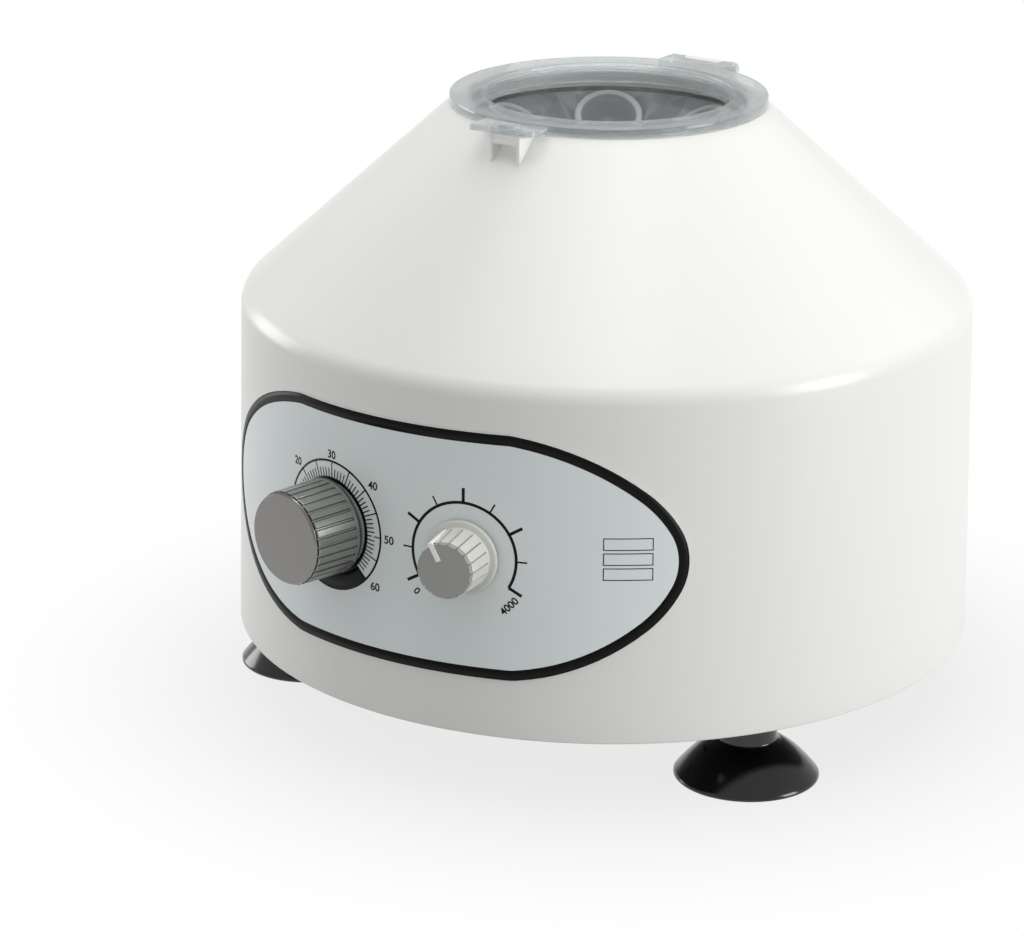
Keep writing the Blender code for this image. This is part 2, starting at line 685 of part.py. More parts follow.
def make_feet(finishes):
    """Three rubber suction cups on their necks, each held by a bolt through the plate."""
    made = []
    top = H_PLATE - SEAT_GAP
    flat = CUP_RADIUS - CUP_RIM_WIDTH
    shoulder = FOOT_NECK_RADIUS + 0.8
    dome = [(shoulder + (CUP_RADIUS - shoulder) * share,
             CUP_LIP + (CUP_HEIGHT - CUP_LIP) * (1 - share ** CUP_BULGE))
            for share in (0, 0.28, 0.55, 0.8, 1)]
    hollow = [(flat * math.cos(a), CUP_HOLLOW * math.sin(a))
              for a in (math.radians(d) for d in (0, 50))]
    bore = FOOT_BOLT_RADIUS + THREAD_GAP
    floor = H_PLATE - FOOT_BOLT_REACH - 1
    profile = [(bore, top), (FOOT_NECK_RADIUS - 0.6, top), (FOOT_NECK_RADIUS, top - 0.6),
               (FOOT_NECK_RADIUS, CUP_HEIGHT + 1.2)]
    profile += dome + [(CUP_RADIUS, 0)] + hollow
    profile += [(0, CUP_HOLLOW), (0, floor), (bore, floor)]
    for number, azimuth in enumerate(FOOT_AZIMUTHS, 1):
        at = standing(FOOT_CIRCLE, azimuth, 0)
        made.append(turned(f"suction_foot_{number}", profile, COARSE_COUNT + 4,
                           finishes["black_rubber"], at))
        bolt = extruded(f"foot_bolt_{number}", hexagon(FOOT_BOLT_HEAD_RADIUS),
                        H_PLATE_TOP + SEAT_GAP, H_PLATE_TOP + SEAT_GAP + FOOT_BOLT_HEAD,
                        finishes["steel"], at)
        add(bolt, rod("shank", FOOT_BOLT_RADIUS, H_PLATE - FOOT_BOLT_REACH,
                      H_PLATE_TOP + FOOT_BOLT_HEAD / 2, SMALL_COUNT, matrix=at))
        made.append(bolt)
    return made


def make_base_plate(finishes):
    """Steel disc inside the drum's lower edge, with cooling slots."""
    plate = rod("base_plate", PLATE_RADIUS, H_PLATE, H_PLATE_TOP, MEDIUM_COUNT,
                finishes["plate_black"])
    low, high = H_PLATE - 1, H_PLATE_TOP + 1
    for azimuth in FOOT_AZIMUTHS:
        cut(plate, rod("hole", FOOT_BOLT_RADIUS + SEAT_GAP, low, high, SMALL_COUNT,
                       matrix=standing(FOOT_CIRCLE, azimuth, 0)))
    for azimuth in COLUMN_AZIMUTHS:
        cut(plate, rod("hole", SCREW_RADIUS + SEAT_GAP, low, high, SMALL_COUNT,
                       matrix=standing(BASE_SCREW_CIRCLE, azimuth, 0)))
    half = SLOT_WIDTH / 2
    slot = [(half, -SLOT_OUTER), (half, -SLOT_INNER)]
    slot += arc((0, -SLOT_INNER), half, 0, 180, 2)[1:]
    slot += [(-half, -SLOT_OUTER)] + arc((0, -SLOT_OUTER), half, 180, 360, 2)[1:-1]
    for number in range(SLOT_COUNT):
        turn = about_axis((number + 0.5) * 360 / SLOT_COUNT)
        cut(plate, extruded("slot", slot, low, high, matrix=turn))
    return plate


def make_screw(name, finishes, matrix):
    """A round-headed screw whose shank points up the local Z axis from its head's seat."""
    head = SCREW_HEAD_RADIUS
    drop = -SCREW_HEAD_HEIGHT
    profile = [(0, SCREW_REACH), (SCREW_RADIUS, SCREW_REACH), (SCREW_RADIUS, 0), (head, 0),
               (head, drop * 0.45), (head * 0.75, drop * 0.85), (0, drop)]
    return turned(name, profile, SMALL_COUNT - 2, finishes["steel"], matrix)


def make_screws(finishes):
    """Four screws up through the base plate and four down through the chamber floor."""
    flip = Matrix.Rotation(math.pi, 4, "X")
    for number, azimuth in enumerate(COLUMN_AZIMUTHS, 1):
        make_screw(f"base_screw_{number}", finishes,
                   standing(BASE_SCREW_CIRCLE, azimuth, H_PLATE - SEAT_GAP))
        make_screw(f"floor_screw_{number}", finishes,
                   standing(FLOOR_SCREW_CIRCLE, azimuth, H_TRAY_TOP + SEAT_GAP) @ flip)


def make_chamber_floor(finishes):
    """Dished tray that keeps the rotor chamber apart from the motor and the wiring."""
    outer = drum_radius(H_TRAY_TOP) - WALL - PLATE_EDGE_GAP
    top, under = H_TRAY_TOP, H_TRAY_UNDER
    dish, thick = TRAY_DISH_DEPTH, TRAY_THICKNESS
    hole = TRAY_HOLE_RADIUS
    profile = [(hole, top - dish + TRAY_COLLAR), (hole + thick, top - dish + TRAY_COLLAR),
               (hole + thick, top - dish), (TRAY_DISH_RADIUS, top - dish),
               (TRAY_FLANGE_INNER, top), (outer, top), (outer, under),
               (TRAY_FLANGE_INNER + thick / 2, under), (TRAY_DISH_RADIUS + thick / 2, under - dish),
               (hole, under - dish)]
    tray = turned("chamber_floor", profile, MEDIUM_COUNT, finishes["dark_tray"])
    for azimuth in COLUMN_AZIMUTHS:
        cut(tray, rod("hole", SCREW_RADIUS + SEAT_GAP, under - 1, top + 1, SMALL_COUNT,
                      matrix=standing(FLOOR_SCREW_CIRCLE, azimuth, 0)))
    return tray


# Motor

def make_motor(finishes):
    """Motor on three rubber dampers: bells, can, brushes, bearings, armature and shaft."""
    damper = [(0, DAMPER_HEIGHT), (DAMPER_RADIUS, DAMPER_HEIGHT),
              (DAMPER_RADIUS, DAMPER_HEIGHT * 0.8), (DAMPER_RADIUS * 0.8, DAMPER_HEIGHT * 0.5),
              (DAMPER_RADIUS, DAMPER_HEIGHT * 0.2), (DAMPER_RADIUS, 0), (0, 0)]
    for number, azimuth in enumerate((30, 150, 270), 1):
        turned(f"motor_damper_{number}", damper, SMALL_COUNT, finishes["damper_rubber"],
               standing(DAMPER_CIRCLE, azimuth, H_PLATE_TOP + SEAT_GAP))

    inner = MOTOR_RADIUS - MOTOR_WALL
    seat = BEARING_RADIUS + SEAT_GAP
    bore = SHAFT_TAIL_RADIUS + RUN_GAP
    low, high = H_MOTOR, H_MOTOR + BOTTOM_BELL_DEPTH
    seat_top = low + BELL_THICKNESS + BEARING_WIDTH - 2 * SEAT_GAP
    turned("motor_bottom_bell",
           [(inner, high), (MOTOR_RADIUS, high), (MOTOR_RADIUS, low + 1.5),
            (MOTOR_RADIUS - 1.5, low), (0, low), (0, low + BELL_FLOOR),
            (seat, low + BELL_FLOOR), (seat, seat_top), (seat + 3, seat_top),
            (seat + 3, low + BELL_THICKNESS), (inner, low + BELL_THICKNESS)],
           ROUND_COUNT, finishes["motor_steel"])

    can = turned("motor_can",
                 [(inner, H_CAN_TOP), (MOTOR_RADIUS, H_CAN_TOP), (MOTOR_RADIUS, H_CAN),
                  (inner, H_CAN)], ROUND_COUNT, finishes["motor_steel"])
    h_brush = H_CAN + COMMUTATOR_STAND + COMMUTATOR_HEIGHT / 2
    for number, azimuth in enumerate((90, 270), 1):
        across = facing_out(0, azimuth, h_brush)
        cut(can, rod("hole", BRUSH_RADIUS + SEAT_GAP, inner - 4, MOTOR_RADIUS + 4, SMALL_COUNT,
                     matrix=across))
        start = COMMUTATOR_RADIUS + RUN_GAP
        seat_out = MOTOR_RADIUS + SEAT_GAP
        turned(f"brush_holder_{number}",
               [(0, seat_out + BRUSH_CAP_REACH), (BRUSH_CAP_RADIUS - 1, seat_out + BRUSH_CAP_REACH),
                (BRUSH_CAP_RADIUS, seat_out + BRUSH_CAP_REACH - 1), (BRUSH_CAP_RADIUS, seat_out),
                (BRUSH_RADIUS, seat_out), (BRUSH_RADIUS, start), (0, start)],
               SMALL_COUNT, finishes["black_plastic"], across)

    low, high = H_TOP_BELL, H_MOTOR_TOP
    bore_top = SHAFT_RADIUS + RUN_GAP
    shelf = low + BEARING_WIDTH + SEAT_GAP
    turned("motor_top_bell",
           [(bore_top, high), (TOP_BELL_BOSS, high), (TOP_BELL_BOSS, low + BELL_THICKNESS + 1),
            (MOTOR_RADIUS - 2, low + BELL_THICKNESS), (MOTOR_RADIUS, low + BELL_THICKNESS - 2),
            (MOTOR_RADIUS, low), (seat, low), (seat, shelf), (bore_top, shelf)],
           ROUND_COUNT, finishes["motor_steel"])

    lower = H_MOTOR + BELL_FLOOR + SEAT_GAP
    upper = H_TOP_BELL
    for name, base, radius in (("shaft_bearing_lower", lower, SHAFT_TAIL_RADIUS),
                               ("shaft_bearing_upper", upper, SHAFT_RADIUS)):
        turned(name, [(radius + RUN_GAP, base + BEARING_WIDTH),
                      (BEARING_RADIUS, base + BEARING_WIDTH), (BEARING_RADIUS, base),
                      (radius + RUN_GAP, base)], COARSE_COUNT, finishes["steel"])

    core = H_CAN + COMMUTATOR_HEIGHT + COMMUTATOR_GAP
    core_top = H_CAN_TOP - ARMATURE_CLEAR
    turned("motor_armature",
           [(SHAFT_RADIUS + SEAT_GAP, core_top),
            (ARMATURE_RADIUS, core_top), (ARMATURE_RADIUS, core),
            (COMMUTATOR_RADIUS, core - COMMUTATOR_GAP / 2), (COMMUTATOR_RADIUS, H_CAN + COMMUTATOR_STAND),
            (SHAFT_RADIUS + SEAT_GAP, H_CAN + COMMUTATOR_STAND)], COARSE_COUNT, finishes["lamination"])

    collar = H_HUB_FOOT - SEAT_GAP
    step = lower + BEARING_WIDTH + SEAT_GAP
    thread = H_HUB_TOP + SEAT_GAP
    turned("motor_shaft",
           [(0, thread + NUT_THREAD_LENGTH), (NUT_THREAD_RADIUS, thread + NUT_THREAD_LENGTH),
            (NUT_THREAD_RADIUS, thread - 1), (SHAFT_RADIUS, thread - 1), (SHAFT_RADIUS, collar),
            (SHAFT_COLLAR_RADIUS, collar), (SHAFT_COLLAR_RADIUS, collar - SHAFT_COLLAR),
            (SHAFT_RADIUS, collar - SHAFT_COLLAR), (SHAFT_RADIUS, step),
            (SHAFT_TAIL_RADIUS, step), (SHAFT_TAIL_RADIUS, lower), (0, lower)],
           COARSE_COUNT, finishes["steel"])


# Rotor

def tube_point(across, down):
    """A point in (radius, height), from a mouth's centre across and down the tube."""
    mouth = Vector((MOUTH_CIRCLE, H_MOUTH))
    return tuple(mouth + TUBE_ACROSS * across + TUBE_DOWN * down)


def tube_frame(number):
    """At a mouth's centre, with Z up out of the tube."""
    azimuth = ROTOR_REST_AZIMUTH + number * 360 / TUBE_COUNT
    return standing(MOUTH_CIRCLE, azimuth, H_MOUTH) @ Matrix.Rotation(-TILT, 4, "X")


def make_rotor(finishes):
    """Dished head on its hub, with a skirt behind the sleeves and a seat for each collar."""
    top = COLLAR_HEIGHT + SEAT_GAP - SEAT_DEPTH
    seat = COLLAR_HEIGHT + SEAT_GAP
    under = top + DISH_THICKNESS
    skirt = SLEEVE_RADIUS + SKIRT_GAP
    bore = SHAFT_RADIUS + SEAT_GAP
    under_drop = (under - top) / math.cos(TILT)
    profile = [(bore, H_HUB_TOP), (HUB_RADIUS - 1, H_HUB_TOP), (HUB_RADIUS, H_HUB_TOP_EDGE),
               tube_point(skirt + SKIRT_WALL - 0.8, top), tube_point(skirt + SKIRT_WALL, top + 0.8),
               tube_point(skirt + SKIRT_WALL, SKIRT_LENGTH), tube_point(skirt, SKIRT_LENGTH),
               tube_point(skirt, under), (HUB_RADIUS, H_HUB_TOP_EDGE - under_drop),
               (HUB_RADIUS, H_HUB_FOOT), (bore, H_HUB_FOOT)]
    head = turned("rotor_head", profile, TUBE_COUNT * 7, finishes["rotor_grey"])
    pieces = [head]
    for number in range(TUBE_COUNT):
        at = tube_frame(number)
        cut(head, rod("seat", COLLAR_RADIUS + SEAT_GAP, -seat, 6, COARSE_COUNT, matrix=at))
        cut(head, rod("hole", SLEEVE_RADIUS + SEAT_GAP, -under - 9, 3, COARSE_COUNT, matrix=at))
        pieces.append(make_sleeve(number, finishes, at))

    low = H_HUB_TOP + SEAT_GAP
    nut = extruded("rotor_nut", hexagon(NUT_RADIUS), low, low + NUT_HEIGHT * 0.55,
                   finishes["steel"])
    dome = NUT_RADIUS * math.cos(math.pi / 6)
    add(nut, turned("dome", [(0, low + NUT_HEIGHT), (dome * 0.55, low + NUT_HEIGHT * 0.93),
                             (dome * 0.9, low + NUT_HEIGHT * 0.72), (dome * 0.98, low + 1),
                             (0, low + 1)], SMALL_COUNT))
    cut(nut, rod("thread", NUT_THREAD_RADIUS + THREAD_GAP, low - 1,
                 low + NUT_THREAD_LENGTH + SEAT_GAP, SMALL_COUNT))
    return pieces + [nut]


def make_sleeve(number, finishes, at):
    """A tube sleeve with a collar at its mouth and a round bottom."""
    outer, inner = SLEEVE_RADIUS, SLEEVE_RADIUS - SLEEVE_WALL
    bulb = SLEEVE_RADIUS - SLEEVE_LENGTH
    profile = [(inner, 0), (COLLAR_RADIUS - 0.5, 0), (COLLAR_RADIUS, -0.5),
               (COLLAR_RADIUS, -COLLAR_HEIGHT), (outer, -COLLAR_HEIGHT)]
    profile += arc((0, bulb), outer, 0, -90, 3)
    profile += arc((0, bulb), inner, -90, 0, 2)
    return turned(f"tube_sleeve_{number + 1}", profile, COARSE_COUNT, finishes["sleeve"], at)


# Lid, hinge and latch

def make_lid(finishes):
    """Clear lid: flange, ridged recess, window, front tab with its hook, rear knuckles."""
    top, under = H_LID_TOP, H_LID_UNDER
    floor = top - WINDOW_DEPTH
    plug = NECK_RADIUS - PLUG_GAP
    edge = LID_EDGE
    profile = [(0, floor)]
    ridges = []
    for number in range(RIDGE_COUNT):
        radius = RECESS_RADIUS - number * RIDGE_STEP
        level = top - edge - number * RIDGE_RISE
        ridges += [(radius, level), (radius, level - RIDGE_RISE * 0.7)]
    inner_most = RECESS_RADIUS - RIDGE_COUNT * RIDGE_STEP
    profile += [(inner_most, floor)] + ridges[::-1]
    profile += [(RECESS_RADIUS + edge, top), (LID_RADIUS - edge, top), (LID_RADIUS, top - edge),
                (LID_RADIUS, under + edge), (LID_RADIUS - edge, under), (plug, under),
                (plug, floor - WINDOW_THICKNESS), (0, floor - WINDOW_THICKNESS)]
    lid = turned("lid", profile, LID_COUNT, finishes["clear_lid"])

    add(lid, front_tab())
    add(lid, hook_block())
    add(lid, rear_tab())
    notch_depth = HINGE_RADIUS + RUN_GAP
    half = EAR_HALF_WIDTH + RUN_GAP
    reach = HINGE_REACH - notch_depth
    beyond = 3 * HINGE_RADIUS
    cut(lid, block("notch", (-half, reach, under - beyond),
                   (half, HINGE_REACH + beyond, top + beyond)))
    cut(lid, rod("hole", PIN_RADIUS + RUN_GAP, -HINGE_HALF_WIDTH - 1, HINGE_HALF_WIDTH + 1,
                 SMALL_COUNT, matrix=hinge_frame()))
    return lid


def front_tab():
    """The finger tab at the front, a rounded plate as thick as the flange."""
    half, reach, soft = TAB_HALF_WIDTH, TAB_REACH, TAB_CORNER
    back = -(NECK_RADIUS + 2)
    outline = [(-half, back)]
    outline += arc((-half + soft, -reach + soft), soft, 180, 270, 3)
    outline += arc((half - soft, -reach + soft), soft, 270, 360, 3)
    outline += [(half, back)]
    return extruded("tab", outline, H_LID_UNDER + 0.1, H_LID_TOP - 0.5)


def hook_block():
    """The thicker block on the tab and the hook that drops behind the keeper's bar."""
    half = BLOCK_HALF_WIDTH
    raised = block("block", (-half, -TAB_REACH - 0.2, H_LID_UNDER + 1),
                   (half, -BLOCK_START, H_LID_TOP + BLOCK_HEIGHT))
    bar_back = KEEPER_REACH - KEEPER_BAR_DEPTH
    front = bar_back - HOOK_GAP
    back = front - HOOK_THICKNESS
    outline = [(front, H_LID_UNDER + 2), (front, pad_height(front) + HOOK_FLOOR_GAP),
               (back, pad_height(back) + HOOK_FLOOR_GAP), (back, H_LID_UNDER + 2)]
    tongue = extruded("hook", outline, -HOOK_HALF_WIDTH, HOOK_HALF_WIDTH,
                      matrix=along_radius(FRONT))
    return add(raised, tongue)


def rear_tab():
    """The plate and the barrel behind the flange, later notched for the ear."""
    half = HINGE_HALF_WIDTH
    plate = [(NECK_RADIUS + 2, H_LID_UNDER + 0.1), (HINGE_REACH, H_LID_UNDER + 0.1)]
    plate += [(HINGE_REACH, H_LID_TOP - 0.02), (NECK_RADIUS + 2, H_LID_TOP - 0.02)]
    tab = extruded("plate", plate, -half, half, matrix=along_radius(BACK))
    return add(tab, rod("barrel", HINGE_RADIUS, -half, half, SMALL_COUNT + 4, matrix=hinge_frame()))


def make_hinge_pin(finishes):
    return rod("hinge_pin", PIN_RADIUS, -HINGE_HALF_WIDTH + 0.4, HINGE_HALF_WIDTH - 0.4,
               SMALL_COUNT, finishes["steel"], hinge_frame())


def pad_height(reach):
    """Top of the keeper's pad at a distance in front of the spin axis."""
    return cone_height(reach) + SEAT_GAP + KEEPER_PAD * math.hypot(1, 1 / CONE_RUN)


def make_latch_keeper(finishes):
    """Two gussets, a catch bar between them and a pad, cut to sit on the cone."""
    top = H_LID_UNDER - KEEPER_DROP
    reach = KEEPER_REACH
    start = NECK_OUTER_RADIUS - 1
    low = cone_height(reach) - 1
    half = KEEPER_HALF_WIDTH
    side = [(start, low), (reach, low), (reach, top), (start, top)]
    frame = along_radius(FRONT)
    keeper = extruded("latch_keeper", side, -half, -half + KEEPER_WALL,
                      finishes["white_nylon"], frame)
    add(keeper, extruded("gusset", side, half - KEEPER_WALL, half, matrix=frame))
    inner = half - KEEPER_WALL / 2
    bar_back = reach - KEEPER_BAR_DEPTH
    sill = pad_height(bar_back) + KEEPER_WINDOW
    bar = [(bar_back, sill), (reach, sill), (reach, top), (bar_back, top)]
    add(keeper, extruded("bar", bar, -inner, inner, matrix=frame))
    pad_start = NECK_OUTER_RADIUS + 3
    pad = [(pad_start, low), (reach, low), (reach, pad_height(reach)),
           (pad_start, pad_height(pad_start))]
    add(keeper, extruded("pad", pad, -inner, inner, matrix=frame))
    outline_top, outline_corner, outline_foot = cone_outline(SEAT_GAP)
    cone = turned("cone", [(0, outline_top[1]), outline_top, outline_corner,
                           outline_foot, (0, outline_foot[1])], FINE_COUNT)
    return cut(keeper, cone)


# Control panel and knobs

def panel_outline():
    """The overlay's edge as (distance along the drum, height) from its centre."""
    quarter = [(PANEL_STRAIGHT, 0.0)]
    for radius, start, end in PANEL_ARCS:
        x, z = quarter[-1]
        steps = 3
        for i in range(1, steps + 1):
            angle = math.radians(start + (end - start) * i / steps)
            first = math.radians(start)
            quarter.append((x + radius * (math.sin(angle) - math.sin(first)),
                            z - radius * (math.cos(first) - math.cos(angle))))
    half_height = -quarter[-1][1]
    upper = [(x, z + half_height) for x, z in quarter]
    right = upper + [(x, -z) for x, z in upper[-2::-1]]
    return right + [(-x, z) for x, z in right[::-1] if x > 0]


def make_control_panel(finishes):
    """A thin overlay wrapped round the front of the drum, cut to its outline."""
    radius = drum_radius(H_PANEL)
    outline = [(radius * math.sin(along / radius), height + H_PANEL)
               for along, height in panel_outline()]
    lift = SEAT_GAP + PANEL_THICKNESS
    low = min(z for _, z in outline) - 4
    high = max(z for _, z in outline) + 4
    sheet = turned("control_panel",
                   [(drum_radius(high) + lift, high), (drum_radius(low) + lift, low),
                    (drum_radius(low) + SEAT_GAP, low), (drum_radius(high) + SEAT_GAP, high)],
                   FINE_COUNT, finishes["overlay"])
    stand_up = Matrix.Rotation(math.pi / 2, 4, "X")
    prism = extruded("outline", outline, radius * 0.5, radius * 1.2, matrix=stand_up)
    combine(sheet, prism, "INTERSECT")
    for azimuth in (-CONTROL_TURN, CONTROL_TURN):
        wall = facing_out(drum_radius(H_CONTROL), azimuth, H_CONTROL)
        cut(sheet, rod("hole", BUSH_RADIUS + SEAT_GAP, -3 * WALL, 3 * WALL, COARSE_COUNT, matrix=wall))
    return sheet


def grooved_ring(radius, depth, count, height):
    """A circle with narrow V grooves, three points to a rib."""
    points = []
    for number in range(count):
        for share, cut_in in ((0.14, 0.0), (0.86, 0.0), (1.0, depth)):
            angle = math.tau * (number + share) / count
            points.append(((radius - cut_in) * math.cos(angle),
                           (radius - cut_in) * math.sin(angle), height))
    return points


def hollow_back(knob, grip_radius, base, front):
    """Hollow a knob from behind, round the bush nut and the shaft's boss."""
    cavity = grip_radius - KNOB_WALL
    roof = front - KNOB_TOP
    start = KNOB_BOSS_START
    cut(knob, turned("hollow", [(KNOB_BOSS_RADIUS, roof), (cavity, roof), (cavity, base - 1),
                                (0, base - 1), (0, start), (KNOB_BOSS_RADIUS, start)], COARSE_COUNT))
    return cut(knob, rod("bore", CONTROL_SHAFT_RADIUS + SEAT_GAP, base, roof, SMALL_COUNT))


def make_control(name, finishes, wall, case, face, knob_front):
    """The bush on a case behind the wall, its nut, and the shaft up into the knob."""
    add(case, rod("bush", BUSH_RADIUS, face - 1, BUSH_END, COARSE_COUNT - 4, matrix=wall))
    tail = face - SHAFT_TAIL_DEPTH
    cut(case, rod("bore", CONTROL_SHAFT_RADIUS + RUN_GAP, tail, BUSH_END + 1, SMALL_COUNT, matrix=wall))
    low, high = BUSH_NUT_SEAT, BUSH_NUT_SEAT + BUSH_NUT_HEIGHT
    nut = extruded(f"{name}_nut", hexagon(BUSH_NUT_RADIUS), low, high, finishes["steel"], wall)
    cut(nut, rod("bore", BUSH_RADIUS + THREAD_GAP, low - 1, high + 1, COARSE_COUNT - 4, matrix=wall))
    return rod(f"{name}_shaft", CONTROL_SHAFT_RADIUS, tail + RUN_GAP,
               knob_front - KNOB_TOP - SEAT_GAP, SMALL_COUNT, finishes["steel"], wall)


def make_timer(finishes):
    """Clockwork timer behind the wall and its ribbed knob with a metal cap."""
    wall = facing_out(drum_radius(H_CONTROL), -CONTROL_TURN, H_CONTROL)
    half = TIMER_BODY_HALF
    base = TIMER_KNOB_BASE
    front = base + TIMER_KNOB_LENGTH
    case = block("timer_mechanism", (-half, -half, TIMER_FACE - TIMER_BODY_DEPTH),
                 (half, half, TIMER_FACE), finishes["black_plastic"], wall)
    shaft = make_control("timer", finishes, wall, case, TIMER_FACE, front)
    skirt = base + TIMER_SKIRT_HEIGHT
    ribs = TIMER_RIB_COUNT
    rings = [grooved_ring(TIMER_SKIRT_RADIUS, 0, ribs, base),
             grooved_ring(TIMER_SKIRT_RADIUS, 0, ribs, skirt),
             grooved_ring(TIMER_GRIP_RADIUS, TIMER_GROOVE, ribs, skirt + 0.4),
             grooved_ring(TIMER_FACE_RADIUS, TIMER_GROOVE, ribs, front)]
    knob = lofted("timer_knob", rings, finishes["grip_grey"])
    hollow_back(knob, TIMER_GRIP_RADIUS, base, front)
    cut(knob, rod("socket", TIMER_SPIGOT_RADIUS + SEAT_GAP, front - TIMER_SPIGOT - SEAT_GAP,
                  front + 1, COARSE_COUNT))
    knob.matrix_world = metres_matrix(wall)

    low = front + SEAT_GAP
    high = low + TIMER_CAP_HEIGHT
    cap = turned("timer_knob_cap",
                 [(0, high), (TIMER_CAP_RADIUS - TIMER_CAP_CHAMFER, high),
                  (TIMER_CAP_RADIUS, high - TIMER_CAP_CHAMFER),
                  (TIMER_CAP_RADIUS, low), (TIMER_SPIGOT_RADIUS, low),
                  (TIMER_SPIGOT_RADIUS, front - TIMER_SPIGOT), (0, front - TIMER_SPIGOT)],
                 ROUND_COUNT, finishes["brushed_cap"], wall)
    carry(pivot("timer_axis", wall), [knob, cap, shaft])


def make_speed(finishes):
    """Potentiometer behind the wall and its fluted knob with a grey cap and a pointer."""
    wall = facing_out(drum_radius(H_CONTROL), CONTROL_TURN, H_CONTROL)
    turned_wall = wall @ Matrix.Rotation(math.radians(SPEED_KNOB_TURN), 4, "Z")
    base = SPEED_KNOB_BASE
    front = base + SPEED_KNOB_LENGTH
    face = inner_face(H_CONTROL, POT_RADIUS, POT_RADIUS)
    case = rod("speed_potentiometer", POT_RADIUS, face - POT_DEPTH, face, COARSE_COUNT,
               finishes["motor_steel"], wall)
    shaft = make_control("speed", finishes, wall, case, face, front)
    skirt = base + SPEED_SKIRT_HEIGHT
    flutes = SPEED_FLUTE_COUNT
    rings = [grooved_ring(SPEED_SKIRT_RADIUS, 0, flutes, base),
             grooved_ring(SPEED_SKIRT_RADIUS, 0, flutes, skirt - 0.5),
             grooved_ring(SPEED_GRIP_RADIUS, SPEED_FLUTE, flutes, skirt + 0.1),
             grooved_ring(SPEED_FACE_RADIUS, SPEED_FLUTE, flutes, front)]
    knob = lofted("speed_knob", rings, finishes["knob_white"])
    hollow_back(knob, SPEED_GRIP_RADIUS, base, front)

    low = front + SEAT_GAP
    high = low + SPEED_CAP_HEIGHT
    cap = lofted("speed_knob_cap",
                 [grooved_ring(SPEED_CAP_RADIUS, SPEED_FLUTE, flutes, low),
                  grooved_ring(SPEED_CAP_RADIUS, SPEED_FLUTE, flutes, high)],
                 finishes["knob_cap_grey"])

    half = POINTER_WIDTH / 2
    bed = half + SEAT_GAP
    outer = SPEED_GRIP_RADIUS + POINTER_PROUD
    inner = outer - POINTER_DEPTH
    sole = skirt + 0.6
    groove_low = (inner - SEAT_GAP, -bed, sole - SEAT_GAP)
    cut(knob, block("groove", groove_low, (outer + 2, bed, front + 1)))
    cut(cap, block("groove", (POINTER_START - SEAT_GAP, -bed, low - 1), (outer + 2, bed, high + 1)))
    pointer = block("speed_knob_pointer", (inner, -half, sole), (outer, half, high + POINTER_PROUD),
                    finishes["pointer_white"])
    add(pointer, block("bar", (POINTER_START, -half, low), (outer - 0.2, half, high + POINTER_PROUD)))
    for piece in (knob, cap, pointer):
        piece.matrix_world = metres_matrix(turned_wall)
    carry(pivot("speed_axis", wall), [knob, cap, pointer, shaft])


# Electrics and inlet

def make_board(finishes):
    """Speed control board on four posts, with its capacitor, choke and heat sink."""
    across, deep = BOARD_SIZE
    x, y = BOARD_INSET - PLATE_RADIUS, BOARD_SHIFT
    post_top = H_PLATE_TOP + SEAT_GAP + BOARD_POST_HEIGHT
    low = post_top + SEAT_GAP
    high = low + BOARD_THICKNESS
    left, right = x - across / 2, x + across / 2
    near, far = y - deep / 2, y + deep / 2
    board = block("circuit_board", (left, near, low), (right, far, high), finishes["board_green"])
    rooted = high - BOARD_THICKNESS / 2
    thick, long, tall = HEAT_SINK_SIZE
    corner = (left + HEAT_SINK_INSET, y - long / 2)
    add(board, block("heat_sink", (*corner, rooted),
                     (corner[0] + thick, corner[1] + long, high + tall)))
    middle = (right - PART_INSET - CAPACITOR_RADIUS, far - PART_INSET - CAPACITOR_RADIUS, 0)
    add(board, rod("capacitor", CAPACITOR_RADIUS, rooted, high + CAPACITOR_HEIGHT, SMALL_COUNT,
                   matrix=Matrix.Translation(middle)))
    wide, long, tall = CHOKE_SIZE
    corner = (right - PART_INSET, near + PART_INSET)
    add(board, block("choke", (corner[0] - wide, corner[1], rooted),
                     (corner[0], corner[1] + long, high + tall)))
    inset = BOARD_POST_INSET
    corners = [(left + inset, near + inset), (right - inset, near + inset),
               (right - inset, far - inset), (left + inset, far - inset)]
    for number, (px, py) in enumerate(corners, 1):
        extruded(f"board_post_{number}", hexagon(BOARD_POST_RADIUS), H_PLATE_TOP + SEAT_GAP,
                 post_top, finishes["white_nylon"], Matrix.Translation((px, py, 0)))


